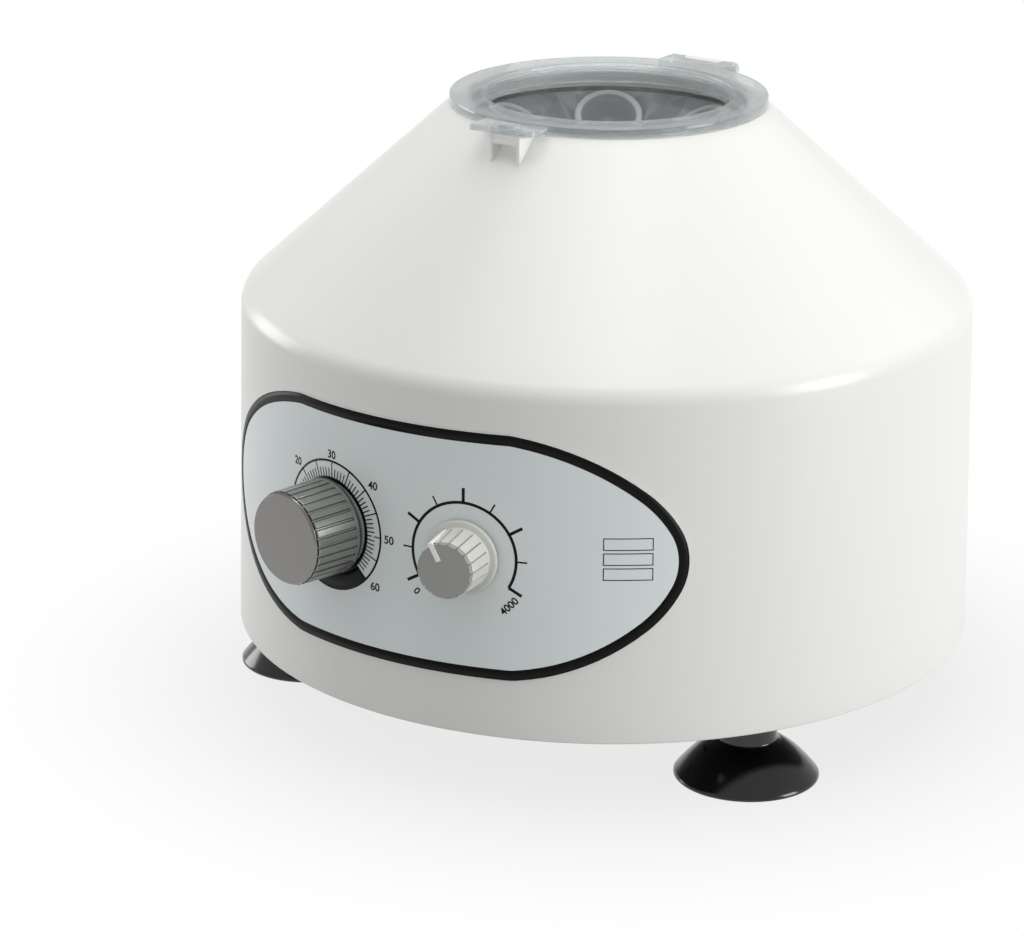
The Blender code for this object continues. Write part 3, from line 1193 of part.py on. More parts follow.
def make_gland(finishes):
    """Cable gland in the back wall: body, dome cap and inside nut, bored for the lead."""
    wall = facing_out(drum_radius(H_GLAND), BACK, H_GLAND)
    bore = GLAND_BORE_RADIUS
    inside = inner_face(H_GLAND, GLAND_FLANGE_RADIUS, GLAND_FLANGE_RADIUS)
    face = SEAT_GAP + GLAND_FLANGE_RADIUS * DRUM_DRAFT
    front = face + GLAND_FLANGE
    body = extruded("gland_body", hexagon(GLAND_FLANGE_RADIUS), face, front,
                    finishes["black_plastic"], wall)
    add(body, rod("thread", GLAND_THREAD_RADIUS, inside - GLAND_THREAD_REACH, face + 1, COARSE_COUNT,
                  matrix=wall))
    add(body, rod("nipple", GLAND_NIPPLE_RADIUS, front - 1, front + GLAND_NIPPLE, COARSE_COUNT - 4,
                  matrix=wall))
    cut(body, rod("bore", bore, inside - GLAND_THREAD_REACH - 1, front + GLAND_NIPPLE + 1, SMALL_COUNT,
                  matrix=wall))

    low = front + SEAT_GAP
    high = low + GLAND_CAP_LENGTH
    round_off = 3.0
    socket = GLAND_NIPPLE_RADIUS + SEAT_GAP
    deep = front + GLAND_NIPPLE + SEAT_GAP
    turned("gland_cap",
           [(bore, high), (GLAND_CAP_RADIUS - round_off, high),
            (GLAND_CAP_RADIUS - round_off * 0.3, high - round_off * 0.3),
            (GLAND_CAP_RADIUS, high - round_off), (GLAND_CAP_RADIUS, low), (socket, low),
            (socket, deep), (bore, deep)], COARSE_COUNT, finishes["black_plastic"], wall)

    nut = extruded("gland_locknut", hexagon(GLAND_FLANGE_RADIUS), inside - GLAND_NUT_HEIGHT,
                   inside, finishes["black_plastic"], wall)
    cut(nut, rod("bore", GLAND_THREAD_RADIUS + THREAD_GAP, inside - GLAND_NUT_HEIGHT - 1,
                 inside + 1, COARSE_COUNT, matrix=wall))


def main():
    for thing in list(bpy.data.objects):
        bpy.data.objects.remove(thing)
    finishes = make_finishes()

    make_housing(finishes)
    make_base_plate(finishes)
    make_feet(finishes)
    make_screws(finishes)
    make_chamber_floor(finishes)
    make_latch_keeper(finishes)
    make_control_panel(finishes)
    make_hinge_pin(finishes)
    make_motor(finishes)
    make_timer(finishes)
    make_speed(finishes)
    make_board(finishes)
    make_gland(finishes)

    lid = make_lid(finishes)
    carry(pivot("lid_axis", hinge_frame()), [lid])
    spinning = make_rotor(finishes)
    spinning += [bpy.data.objects["motor_shaft"], bpy.data.objects["motor_armature"]]
    carry(pivot("spin_axis", Matrix()), spinning)


main()
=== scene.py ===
"""Looks of the bench centrifuge: fine surfaces, finishes, stage and camera round its frame.

Everything is in metres in the frame of the model: the origin is on the spin axis at bench
level, +Z is up and the control panel faces -Y. A place on the drum is written as (along, height):
the way round the skin from the front line, to the viewer's right, and the height above the bench.
"""
import json
import math

import bmesh
import bpy
import numpy as np
from bpy.props import FloatProperty, FloatVectorProperty, IntProperty, PointerProperty
from mathutils import Matrix, Vector


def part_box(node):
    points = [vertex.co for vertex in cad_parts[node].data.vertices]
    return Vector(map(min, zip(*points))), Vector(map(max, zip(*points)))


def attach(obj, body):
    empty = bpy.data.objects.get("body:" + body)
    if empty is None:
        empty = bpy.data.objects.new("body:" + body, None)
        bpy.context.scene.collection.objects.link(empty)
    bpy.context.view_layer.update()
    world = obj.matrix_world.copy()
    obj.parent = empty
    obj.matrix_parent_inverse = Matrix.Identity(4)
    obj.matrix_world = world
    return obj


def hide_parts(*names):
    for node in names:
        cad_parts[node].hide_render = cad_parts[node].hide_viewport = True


bl_info = {
    "name": "Bench centrifuge looks",
    "version": (1, 0, 0),
    "blender": (4, 5, 0),
    "location": "View3D > Sidebar > Centrifuge",
    "description": "Fine surfaces and finishes of a butterfat centrifuge round its frame",
    "category": "Object",
}

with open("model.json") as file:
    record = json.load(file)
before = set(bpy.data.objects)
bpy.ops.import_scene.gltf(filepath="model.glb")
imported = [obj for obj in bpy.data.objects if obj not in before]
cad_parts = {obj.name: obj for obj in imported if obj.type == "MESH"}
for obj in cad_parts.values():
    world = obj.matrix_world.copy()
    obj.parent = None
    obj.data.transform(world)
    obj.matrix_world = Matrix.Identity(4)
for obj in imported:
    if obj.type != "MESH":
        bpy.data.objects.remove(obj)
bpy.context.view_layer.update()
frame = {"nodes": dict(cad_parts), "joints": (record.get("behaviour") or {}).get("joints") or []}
JOINTS = {joint["name"]: joint for joint in frame["joints"]}

MM = 0.001
SEAT_GAP = 0.3 * MM        # between two still pieces that touch
MERGE = 2e-7               # points closer than this are one point
BUSH_HOLE = 4.8 * MM       # radius of the openings for the two controls
PRINT_GAP = 0.01 * MM      # between the overlay's film and the underside of its print

# Read from the frame
DRUM_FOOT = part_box("housing")[0].z
DRUM_FOOT_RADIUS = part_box("housing")[1].x
HINGE = Vector(JOINTS["lid_hinge"]["pos_m"])
TIMER = Vector(JOINTS["timer_turn"]["pos_m"])
SPEED = Vector(JOINTS["speed_turn"]["pos_m"])
TIMER_OUT = Vector(JOINTS["timer_turn"]["axis"])
SPEED_OUT = Vector(JOINTS["speed_turn"]["axis"])
HINGE_RADIUS = 2.9 * MM
POINTER_TURN = math.radians(118)   # at rest, counter-clockwise from 3 o'clock
LID_TOP = HINGE.z + HINGE_RADIUS

# Mouths of the tubes, as in the frame
TUBE_COUNT = 6
TUBE_TILT = math.radians(34.0)
TUBE_CIRCLE = 36.0 * MM
TUBE_MOUTH = DRUM_FOOT + 175.0 * MM
TUBE_FIRST = 32.3          # degrees from the front, counter-clockwise from above


# Colours and sizes that a user would change

def linear(hex_colour):
    """An sRGB hex colour as linear red, green and blue."""
    parts = [int(hex_colour[i:i + 2], 16) / 255 for i in (0, 2, 4)]
    return tuple(c / 12.92 if c <= 0.04045 else ((c + 0.055) / 1.055) ** 2.4 for c in parts)


def length(name, description, default):
    return FloatProperty(name=name, description=description, default=default * MM, min=0.0,
                         unit="LENGTH", subtype="DISTANCE", precision=5)


def colour(name, description, default):
    return FloatVectorProperty(name=name, description=description, default=linear(default),
                               size=3, min=0.0, max=1.0, subtype="COLOR")


class HousingSizes(bpy.types.PropertyGroup):
    shoulder_radius: length("Shoulder radius", "Drum's radius at its upper edge", 130.0)
    drum_height: length("Drum height", "Lower edge to the shoulder corner", 120.8)
    shoulder_fillet: length("Shoulder fillet", "Rounding between drum and cone", 9.0)
    neck_outer: length("Neck outer radius", "Where the cone ends under the lid", 56.0)
    neck_bore: length("Neck bore", "Radius of the chamber's mouth", 50.0)
    neck_depth: length("Neck depth", "Thickness of the ring round the mouth", 6.4)
    wall: length("Wall", "Thickness of the moulding", 2.8)
    ear_half: length("Ear half width", "Half of the hinge ear, across", 7.5)


class LidSizes(bpy.types.PropertyGroup):
    radius: length("Radius", "Outer radius of the flange", 56.0)
    thickness: length("Thickness", "Thickness of the flange", 3.5)
    recess: length("Recess radius", "Radius of the recess at its upper edge", 44.0)
    window_depth: length("Window depth", "Flange's top down to the window", 6.0)
    window: length("Window thickness", "Thickness of the window", 1.8)
    plug: length("Plug radius", "Rim that hangs into the chamber's mouth", 48.8)
    tab_left: length("Tab left", "Middle of the finger tab to its left end", 14.3)
    tab_right: length("Tab right", "Middle of the finger tab to its right end", 10.6)
    tab_reach: length("Tab reach", "Spin axis to the tab's front edge", 66.3)
    tab_thickness: length("Tab thickness", "Flange's top down to the tab's underside", 2.5)
    block_half: length("Block half width", "Half of the raised block, across", 5.3)
    knuckle_half: length("Knuckle half width", "Half of the hinge barrel's length", 13.4)


class KeeperSizes(bpy.types.PropertyGroup):
    half: length("Half width", "Half of the bracket, across", 6.2)
    cheek: length("Cheek", "Thickness of each side", 1.3)
    reach: length("Reach", "Spin axis to the bracket's front", 65.6)
    gap: length("Gap", "Tab's underside down to the bracket's top", 0.4)
    bar_height: length("Bar height", "Height of the catch bar", 3.2)
    bar_depth: length("Bar depth", "Front to back of the catch bar", 2.1)


class PanelSizes(bpy.types.PropertyGroup):
    centre: length("Centre height", "Middle of the overlay above the drum's lower edge", 63.35)
    straight: length("Straight half", "Half of the straight part of the upper edge", 42.0)
    tilt: FloatProperty(name="Tilt", description="Turn of the outline on the drum",
                        default=0.012, subtype="ANGLE")
    lift: length("Lift", "Overlay's face above the drum's skin", 0.8)
    film: length("Film", "Thickness of the overlay", 0.5)
    ink: length("Ink", "Thickness of the printed layer", 0.04)
    border: length("Border", "Width of the black border", 3.65)


class KnobSizes(bpy.types.PropertyGroup):
    ribs: IntProperty(name="Timer ribs", description="Ribs round the timer's knob",
                      default=32, min=8)
    rib_depth: length("Rib depth", "Depth of the grooves between the ribs", 0.85)
    timer_cap: length("Timer cap radius", "Radius of the polished disc", 15.85)
    flutes: IntProperty(name="Speed flutes", description="Panels round the speed knob",
                        default=18, min=6)
    flute_depth: length("Flute depth", "Depth of the grooves between the panels", 0.9)
    speed_cap: length("Speed cap radius", "Radius of the grey disc", 9.55)
    speed_skirt: length("Speed skirt radius", "Radius of the flange at the overlay", 12.8)
    pointer: length("Pointer width", "Width of the white inlay", 1.75)


class Finishes(bpy.types.PropertyGroup):
    housing: colour("Housing", "Moulded ABS", "E9E9E5")
    lid: colour("Lid", "Clear moulding's tint", "E6EDEE")
    film: colour("Overlay", "Field of the overlay", "E2E9E9")
    ink: colour("Ink", "Printed border and scales", "070708")
    grip: colour("Timer grip", "Ribbed barrel", "929590")
    cap: colour("Timer cap", "Polished disc", "82817F")
    knob: colour("Speed knob", "Moulded barrel", "D2D2CC")
    knob_cap: colour("Speed cap", "Grey disc", "A2A2A0")
    rubber: colour("Feet", "Suction cups", "060607")
    rotor: colour("Rotor", "Rotor head", "66686B")


class StageSettings(bpy.types.PropertyGroup):
    world: FloatProperty(name="World", description="Strength of the even light", default=0.6,
                         min=0.0, subtype="FACTOR")
    left: FloatProperty(name="Left", description="Power of the left softbox", default=3.2,
                        min=0.0, unit="POWER")
    right: FloatProperty(name="Right", description="Power of the right softbox", default=8.2,
                         min=0.0, unit="POWER")
    top: FloatProperty(name="Top", description="Power of the overhead softbox", default=6.6,
                       min=0.0, unit="POWER")
    lens: FloatProperty(name="Lens", description="Focal length on a 36 mm sensor",
                        default=128.76, min=1.0, unit="CAMERA")


# Materials

def add_node(tree, kind, inputs=None, **settings):
    """Adds a node, sets its properties, and sets or links its inputs by name or number."""
    made = tree.nodes.new(kind)
    for name, value in settings.items():
        setattr(made, name, value)
    for name, value in (inputs or {}).items():
        if isinstance(value, bpy.types.NodeSocket):
            tree.links.new(value, made.inputs[name])
        else:
            made.inputs[name].default_value = value
    return made


def start_material(name, **shader_values):
    """A material with its Principled shader, and the Object coordinates of its piece."""
    material = bpy.data.materials.new(name)
    material.use_nodes = True
    tree = material.node_tree
    shader = tree.nodes["Principled BSDF"]
    for key, value in shader_values.items():
        shader.inputs[key.replace("_", " ").title().replace("Ior", "IOR")].default_value = value
    where = add_node(tree, "ShaderNodeTexCoord").outputs["Object"]
    return material, tree, shader, where


def surface_noise(tree, where, size, detail=2.0):
    """Noise whose blotches are about size metres across."""
    return add_node(tree, "ShaderNodeTexNoise",
                    {"Vector": where, "Scale": 1.0 / size, "Detail": detail}).outputs["Fac"]


def vary(tree, shader, noise, tint, drift, roughness, spread):
    """Lets the colour drift darker by a share and the roughness spread about its value."""
    darker = tuple(c * (1.0 - drift) for c in tint)
    mixed = add_node(tree, "ShaderNodeMix",
                     {"Factor": noise, "A": (*tint, 1.0), "B": (*darker, 1.0)},
                     data_type="RGBA")
    tree.links.new(mixed.outputs["Result"], shader.inputs["Base Color"])
    spreading = add_node(tree, "ShaderNodeMapRange",
                         {"Value": noise, "To Min": roughness - spread,
                          "To Max": roughness + spread})
    tree.links.new(spreading.outputs["Result"], shader.inputs["Roughness"])
    return mixed.outputs["Result"]


def relief(tree, shader, height, depth):
    """Bump from a height pattern, with a depth in metres."""
    bump = add_node(tree, "ShaderNodeBump",
                    {"Height": height, "Distance": depth, "Strength": 1.0})
    tree.links.new(bump.outputs["Normal"], shader.inputs["Normal"])


def moulded_abs(tint):
    """ABS from a polished mould: satin, with flow unevenness some 45 mm across and fine grain.

    The chamber's walls take a flat darker grey as painted shade, so depth below the outer skin
    picks the colour.
    """
    material, tree, shader, where = start_material("moulded_abs", ior=1.53)
    flow = surface_noise(tree, where, 45 * MM)
    skin = vary(tree, shader, flow, tint, 0.02, 0.3, 0.02)
    relief(tree, shader, surface_noise(tree, where, 1.2 * MM), 0.001 * MM)
    inside = chamber_shade_mask(tree, where)
    # Painted shade: the chamber's inner walls are mixed to a flat darker grey, in place of the
    # shade inside the closed housing
    painted_chamber_shade = add_node(tree, "ShaderNodeMix",
                      {"Factor": inside, "A": skin, "B": (*linear("77797B"), 1.0)},
                      data_type="RGBA")
    tree.links.new(painted_chamber_shade.outputs["Result"], shader.inputs["Base Color"])
    return material


def chamber_shade_mask(tree, where):
    """1 on the inside, where the chamber's shade is painted: deeper than half the wall below the
    skin, and under the neck's ring.
    """
    sizes = bpy.context.scene.centrifuge_housing
    skin = HousingShape(sizes)
    parts = add_node(tree, "ShaderNodeSeparateXYZ", {"Vector": where}).outputs

    def calculate(operation, *values):
        return add_node(tree, "ShaderNodeMath", dict(enumerate(values)),
                        operation=operation).outputs[0]

    square = calculate("ADD", calculate("MULTIPLY", parts["X"], parts["X"]),
                       calculate("MULTIPLY", parts["Y"], parts["Y"]))
    radius = calculate("SQRT", square)
    fall = calculate("MULTIPLY", calculate("SUBTRACT", skin.neck_top, parts["Z"]), skin.run)
    on_cone = calculate("DIVIDE", calculate("SUBTRACT", calculate("ADD", sizes.neck_outer, fall),
                                            radius), skin.lean)
    on_drum = calculate("SUBTRACT", sizes.shoulder_radius, radius)
    depth = calculate("MINIMUM", on_cone, on_drum)
    under_ring = calculate("LESS_THAN", parts["Z"], skin.neck_top - sizes.neck_depth + 0.5 * MM)
    deep = calculate("GREATER_THAN", depth, sizes.wall / 2)
    return calculate("MULTIPLY", deep, under_ring)


def clear_moulding(name, tint, clearness, alpha, roughness):
    """Clear styrene acrylonitrile: milky where it is thick, and hazy from handling."""
    material, tree, shader, where = start_material(name, ior=1.5, transmission_weight=clearness,
                                                   alpha=alpha)
    haze = surface_noise(tree, where, 14 * MM, 4.0)
    vary(tree, shader, haze, tint, 0.02, roughness, 0.3 * roughness)
    return material


def printed_film(tint):
    """Polycarbonate label film, printed on its back: satin, with a fine even texture."""
    material, tree, shader, where = start_material("printed_film", ior=1.58)
    cloud = surface_noise(tree, where, 40 * MM)
    vary(tree, shader, cloud, tint, 0.04, 0.3, 0.03)
    # Real texture is 0.1 mm; drawn at 0.6 mm so that it still shows
    relief(tree, shader, surface_noise(tree, where, 0.6 * MM), 0.004 * MM)
    return material


def screen_ink(tint):
    """Screen-printed ink under a satin film: near black, with slightly uneven cover."""
    material, tree, shader, where = start_material("screen_ink", ior=1.33,
                                                   specular_ior_level=0.25)
    vary(tree, shader, surface_noise(tree, where, 2 * MM), tint, 0.3, 0.4, 0.04)
    return material


def satin_grip(tint):
    """Zinc-grey lacquer on a turned barrel: half metallic, with a fine grain along it."""
    material, tree, shader, where = start_material("satin_grip", metallic=0.6)
    vary(tree, shader, surface_noise(tree, where, 0.8 * MM, 4.0), tint, 0.12, 0.32, 0.05)
    relief(tree, shader, surface_noise(tree, where, 0.35 * MM), 0.01 * MM)
    return material


def dark_skirt():
    """Smooth dark ring that the grip stands on: moulded, a little glossy."""
    material, tree, shader, where = start_material("dark_skirt", ior=1.5)
    vary(tree, shader, surface_noise(tree, where, 3 * MM), linear("4A4C4E"), 0.1, 0.3, 0.05)
    return material


def spun_aluminium(tint, centre, outwards):
    """Aluminium disc polished on a lathe: fine rings round its own centre."""
    material, tree, shader, where = start_material("spun_aluminium", metallic=1.0)
    turn = local_frame(centre, outwards).inverted()
    local = add_node(tree, "ShaderNodeMapping",
                     {"Vector": where, "Location": turn.translation,
                      "Rotation": turn.to_euler()}).outputs["Vector"]
    # Real rings are under 0.05 mm; drawn 0.25 mm apart so that they still show
    rings = add_node(tree, "ShaderNodeTexWave",
                     {"Vector": local, "Scale": 0.05 / (0.25 * MM), "Distortion": 1.5,
                      "Detail": 2.0}, wave_type="RINGS", rings_direction="Z").outputs["Fac"]
    vary(tree, shader, rings, tint, 0.02, 0.24, 0.01)
    relief(tree, shader, rings, 0.0003 * MM)
    return material


def moulded_plastic(name, tint, roughness, grain, drift=0.05, **shader_values):
    """Plain moulded plastic: fine spark-eroded grain, and a little unevenness in its gloss."""
    material, tree, shader, where = start_material(name, **shader_values)
    vary(tree, shader, surface_noise(tree, where, 8 * MM), tint, drift, roughness, 0.03)
    relief(tree, shader, surface_noise(tree, where, grain), 0.01 * MM)
    return material


def gloss_rubber(tint):
    """Glossy moulded rubber: black, with dusty patches where it is a little duller."""
    material, tree, shader, where = start_material("gloss_rubber", ior=1.52, coat_weight=0.25,
                                                   coat_roughness=0.06)
    vary(tree, shader, surface_noise(tree, where, 11 * MM, 4.0), tint, 0.3, 0.2, 0.04)
    return material


def translucent_sleeve():
    """Natural polypropylene: milky, lets some light through and blurs it."""
    material, tree, shader, where = start_material("translucent_sleeve", ior=1.49,
                                                   transmission_weight=0.35)
    vary(tree, shader, surface_noise(tree, where, 5 * MM), linear("C6C9CC"), 0.06, 0.32, 0.04)
    return material


def machined_steel(name, tint, roughness):
    """Turned or pressed steel: bright metal with fine tool marks some 0.4 mm apart."""
    material, tree, shader, where = start_material(name, metallic=1.0)
    marks = surface_noise(tree, where, 0.4 * MM, 3.0)
    vary(tree, shader, marks, linear(tint), 0.12, roughness, 0.06)
    return material


def powder_coat():
    """Black powder coat on sheet steel: an orange peel some 1.2 mm across."""
    material, tree, shader, where = start_material("powder_coat", ior=1.5)
    peel = surface_noise(tree, where, 1.2 * MM)
    vary(tree, shader, peel, linear("26272A"), 0.15, 0.42, 0.05)
    relief(tree, shader, peel, 0.03 * MM)
    return material


def laminations():
    """Stacked electrical steel: sheets across the spin axis, drawn 1 mm thick to show."""
    material, tree, shader, where = start_material("laminations", metallic=0.8)
    sheets = add_node(tree, "ShaderNodeTexWave",
                      {"Vector": where, "Scale": 0.05 / MM}, wave_type="BANDS",
                      bands_direction="Z").outputs["Fac"]
    vary(tree, shader, sheets, linear("6A645D"), 0.3, 0.5, 0.05)
    return material


def solder_mask():
    """Circuit board lacquer: green, with copper tracks showing as paler bands."""
    material, tree, shader, where = start_material("solder_mask", ior=1.5)
    tracks = add_node(tree, "ShaderNodeTexBrick",
                      {"Vector": where, "Scale": 1.0 / (16 * MM), "Color1": (1, 1, 1, 1),
                       "Color2": (0.8, 0.8, 0.8, 1), "Mortar": (0, 0, 0, 1)}).outputs["Fac"]
    vary(tree, shader, tracks, linear("1F6B42"), 0.4, 0.35, 0.05)
    return material


# Surfaces

def soft_outline(corners, closed=True, steps=5):
    """Rounds an outline of (x, y, radius) corners: each becomes an arc that touches its sides."""
    points = np.array([corner[:2] for corner in corners], float)
    parts = []
    for i, (point, (_, _, radius)) in enumerate(zip(points, corners)):
        end = not closed and i in (0, len(points) - 1)
        if end or radius == 0.0:
            parts.append(point[None])
            continue
        back = points[i - 1] - point
        ahead = points[(i + 1) % len(points)] - point
        back /= np.linalg.norm(back)
        ahead /= np.linalg.norm(ahead)
        half = math.acos(np.clip(back @ ahead, -1.0, 1.0)) / 2
        bisector = (back + ahead) / np.linalg.norm(back + ahead)
        centre = point + bisector * radius / math.sin(half)
        start = point + back * radius / math.tan(half) - centre
        stop = point + ahead * radius / math.tan(half) - centre
        sweep = math.pi - 2 * half
        share = np.linspace(0.0, 1.0, steps + 1)[:, None]
        arc = (np.sin((1 - share) * sweep) * start + np.sin(share * sweep) * stop)
        parts.append(centre + arc / math.sin(sweep))
    return np.concatenate(parts)


def spaced(low, high, steps):
    """Even steps from low to high, both ends included."""
    return np.linspace(low, high, steps + 1)


def full_turn(steps):
    """Even steps once round, without the last, which is the first again."""
    return np.linspace(0.0, math.tau, steps, endpoint=False)


def arc_points(radius, level, start, end, steps):
    """Part of a circle in (radius, height): (r cos t, level + r sin t), with t in degrees."""
    turn = np.radians(spaced(start, end, steps))
    return np.column_stack([radius * np.cos(turn), level + radius * np.sin(turn)])


def revolve(outline, steps):
    """Carries a (radius, height) outline round Z: (r cos t, r sin t, h) for each t and point."""
    turn = full_turn(steps)[:, None]
    radius, height = outline.T
    return np.stack([radius * np.cos(turn), radius * np.sin(turn),
                     height + 0.0 * turn], axis=-1)


def grid_faces(rows, columns, wrap_rows, wrap_columns):
    """Quads between neighbouring points of a grid whose rows or columns may close on themselves."""
    i = np.arange(rows if wrap_rows else rows - 1)[:, None]
    j = np.arange(columns if wrap_columns else columns - 1)[None, :]
    below, beside = (i + 1) % rows, (j + 1) % columns
    corners = [i * columns + j, below * columns + j, below * columns + beside,
               i * columns + beside]
    return np.stack(corners, axis=-1).reshape(-1, 4)


def local_frame(centre, outwards):
    """A matrix whose Z points outwards from a wall, with Y up and X to the viewer's right."""
    side = Vector((0, 0, 1)).cross(outwards)
    matrix = Matrix((side, (0, 0, 1), outwards)).transposed().to_4x4()
    matrix.translation = centre
    return matrix


def moved(points, matrix):
    """An array of points, taken through a matrix."""
    full = np.array(matrix)
    return points @ full[:3, :3].T + full[:3, 3]


def surface(name, sheets, sharp=32.0):
    """One object from grids (points, wrap_rows, wrap_columns): merged, facing out, smooth."""
    points, faces, start = [], [], 0
    for grid, wrap_rows, wrap_columns in sheets:
        rows, columns = grid.shape[:2]
        points.append(grid.reshape(-1, 3))
        faces.append(grid_faces(rows, columns, wrap_rows, wrap_columns) + start)
        start += rows * columns
    mesh = bpy.data.meshes.new(name)
    mesh.from_pydata(np.concatenate(points), [], np.concatenate(faces).tolist())
    return stand(name, tidy(mesh, sharp))


def tidy(mesh, sharp=32.0, flat=None):
    """Merges doubles, dissolves flat edges if asked, faces the shell outwards, shades it."""
    shape = bmesh.new()
    shape.from_mesh(mesh)
    bmesh.ops.remove_doubles(shape, verts=shape.verts, dist=MERGE)
    if flat is not None:
        bmesh.ops.dissolve_limit(shape, angle_limit=math.radians(flat), verts=shape.verts,
                                 edges=shape.edges)
    bmesh.ops.recalc_face_normals(shape, faces=shape.faces)
    shape.to_mesh(mesh)
    shape.free()
    mesh.shade_smooth()
    mesh.set_sharp_from_angle(angle=math.radians(sharp))
    return mesh


def stand(name, mesh):
    """An object at the origin for a mesh that is already in its place."""
    thing = bpy.data.objects.new(name, mesh)
    bpy.context.scene.collection.objects.link(thing)
    return thing


def finish_piece(thing, body, materials, nodes=()):
    """Gives a piece its materials and its body, and hides the frame's nodes it stands for."""
    thing.data.materials.clear()
    for material in materials:
        thing.data.materials.append(material)
    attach(thing, body)
    if nodes:
        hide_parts(*nodes)


def prism(name, outline, low, high, matrix=Matrix()):
    """An outline drawn along Z from low to high: two rings of points, a wall and two ends."""
    count = len(outline)
    rings = np.array([np.column_stack([outline, np.full(count, level)])
                      for level in (low, high)])
    faces = grid_faces(2, count, False, True).tolist()
    faces += [list(range(count)), list(range(count, 2 * count))]
    mesh = bpy.data.meshes.new(name)
    mesh.from_pydata(moved(rings.reshape(-1, 3), matrix), [], faces)
    return stand(name, tidy(mesh))


def box_outline(left, low, right, high):
    """The four corners of a rectangle, counter-clockwise."""
    return np.array([(left, low), (right, low), (right, high), (left, high)])


def cylinder(name, radius, low, high, matrix, steps=48):
    """A plain cutter or pin: a circle drawn along Z."""
    turn = full_turn(steps)
    circle = np.column_stack([radius * np.cos(turn), radius * np.sin(turn)])
    return prism(name, circle, low, high, matrix)


def combine(target, tool, operation):
    """Applies an exact Boolean to the target and removes the tool."""
    step = target.modifiers.new(operation, "BOOLEAN")
    step.operation = operation
    step.solver = "EXACT"
    step.object = tool
    apply_modifiers(target)
    bpy.data.objects.remove(tool)


def soften(thing, width, segments=3, angle=40.0):
    """Rounds a piece's edges and keeps its flats flat in the shading."""
    bevel = thing.modifiers.new("soft_edges", "BEVEL")
    bevel.width = width
    bevel.segments = segments
    bevel.limit_method = "ANGLE"
    bevel.angle_limit = math.radians(angle)
    bevel.use_clamp_overlap = True
    normals = thing.modifiers.new("flat_faces", "WEIGHTED_NORMAL")
    normals.keep_sharp = True
    return thing


def final_mesh(thing):
    """The mesh of a piece or a text, as its modifiers leave it."""
    bpy.context.view_layer.update()
    graph = bpy.context.evaluated_depsgraph_get()
    return bpy.data.meshes.new_from_object(thing.evaluated_get(graph))


def apply_modifiers(thing):
    """Turns a piece's live modifiers into its mesh."""
    result = final_mesh(thing)
    thing.modifiers.clear()
    thing.data = result
    return thing


def soft_prism(name, outline, low, high, matrix, width, segments=2):
    """A prism with rounded edges, ready to be joined to another piece."""
    return apply_modifiers(soften(prism(name, outline, low, high, matrix), width, segments))


def soft_copy(name, node, width, sharp=32.0):
    """A merged copy of a node of the frame, with its edges rounded."""
    copy = stand(name, tidy(frame["nodes"][node].data.copy(), sharp, flat=1.0))
    return soften(copy, width) if width else copy


def vertex_array(mesh):
    """The place of every vertex, as rows of x, y and z."""
    points = np.empty(len(mesh.vertices) * 3)
    mesh.vertices.foreach_get("co", points)
    return points.reshape(-1, 3)


def face_array(mesh, name):
    """The center or the normal of every face, as rows of x, y and z."""
    values = np.empty(len(mesh.polygons) * 3)
    mesh.polygons.foreach_get(name, values)
    return values.reshape(-1, 3)


def span(node, matrix):
    """Lowest and highest level of a node along a local frame's Z axis."""
    levels = moved(vertex_array(frame["nodes"][node].data), matrix.inverted())[:, 2]
    return levels.min(), levels.max()


# Housing

class HousingShape:
    """Lines of the drum and cone, in (radius, height), that several pieces follow."""

    def __init__(self, sizes):
        self.sizes = sizes
        self.neck_top = LID_TOP - bpy.context.scene.centrifuge_lid.thickness - SEAT_GAP
        self.shoulder = DRUM_FOOT + sizes.drum_height
        self.run = (sizes.shoulder_radius - sizes.neck_outer) / (self.neck_top - self.shoulder)
        self.lean = math.hypot(1.0, self.run)

    def drum_radius(self, height):
        """Radius of the drum's skin, which has a slight draft."""
        share = (height - DRUM_FOOT) / self.sizes.drum_height
        return DRUM_FOOT_RADIUS + (self.sizes.shoulder_radius - DRUM_FOOT_RADIUS) * share

    def cone_height(self, radius):
        """Height of the cone's skin at a radius."""
        return self.neck_top - (radius - self.sizes.neck_outer) / self.run

    def skin(self, depth):
        """Neck, shoulder and foot corners of the skin moved inwards by a depth."""
        side = depth * self.lean
        shoulder = self.sizes.shoulder_radius - depth
        return ((self.sizes.neck_outer - side, self.neck_top),
                (shoulder, self.cone_height(shoulder + side)),
                (DRUM_FOOT_RADIUS - depth, DRUM_FOOT))


def housing_outline(shape):
    """Closed section of the moulding, with its long sides cut into shorter stretches."""
    sizes = shape.sizes
    neck, corner, foot = shape.skin(0.0)
    inner_neck, inner_corner, inner_foot = shape.skin(sizes.wall)
    ring_foot = shape.neck_top - sizes.neck_depth
    under = (inner_neck[0] + sizes.neck_depth * shape.run, ring_foot)
    edge = 0.6 * MM
    outline = soft_outline([
        (sizes.neck_bore, shape.neck_top, edge), (*neck, edge),
        (*corner, sizes.shoulder_fillet), (*foot, edge), (*inner_foot, edge),
        (*inner_corner, sizes.shoulder_fillet - sizes.wall), (*under, edge),
        (sizes.neck_bore, ring_foot, edge)], steps=9)
    return split_long(outline, 8 * MM)


def split_long(outline, longest):
    """Adds evenly spaced points on the sides of a closed outline that are too long."""
    ahead = np.roll(outline, -1, axis=0)
    parts = np.maximum(1, np.ceil(np.linalg.norm(ahead - outline, axis=1) / longest)).astype(int)
    side = np.repeat(np.arange(len(outline)), parts)
    first = np.concatenate([[0], np.cumsum(parts)[:-1]])
    share = ((np.arange(len(side)) - first[side]) / parts[side])[:, None]
    return outline[side] * (1 - share) + ahead[side] * share


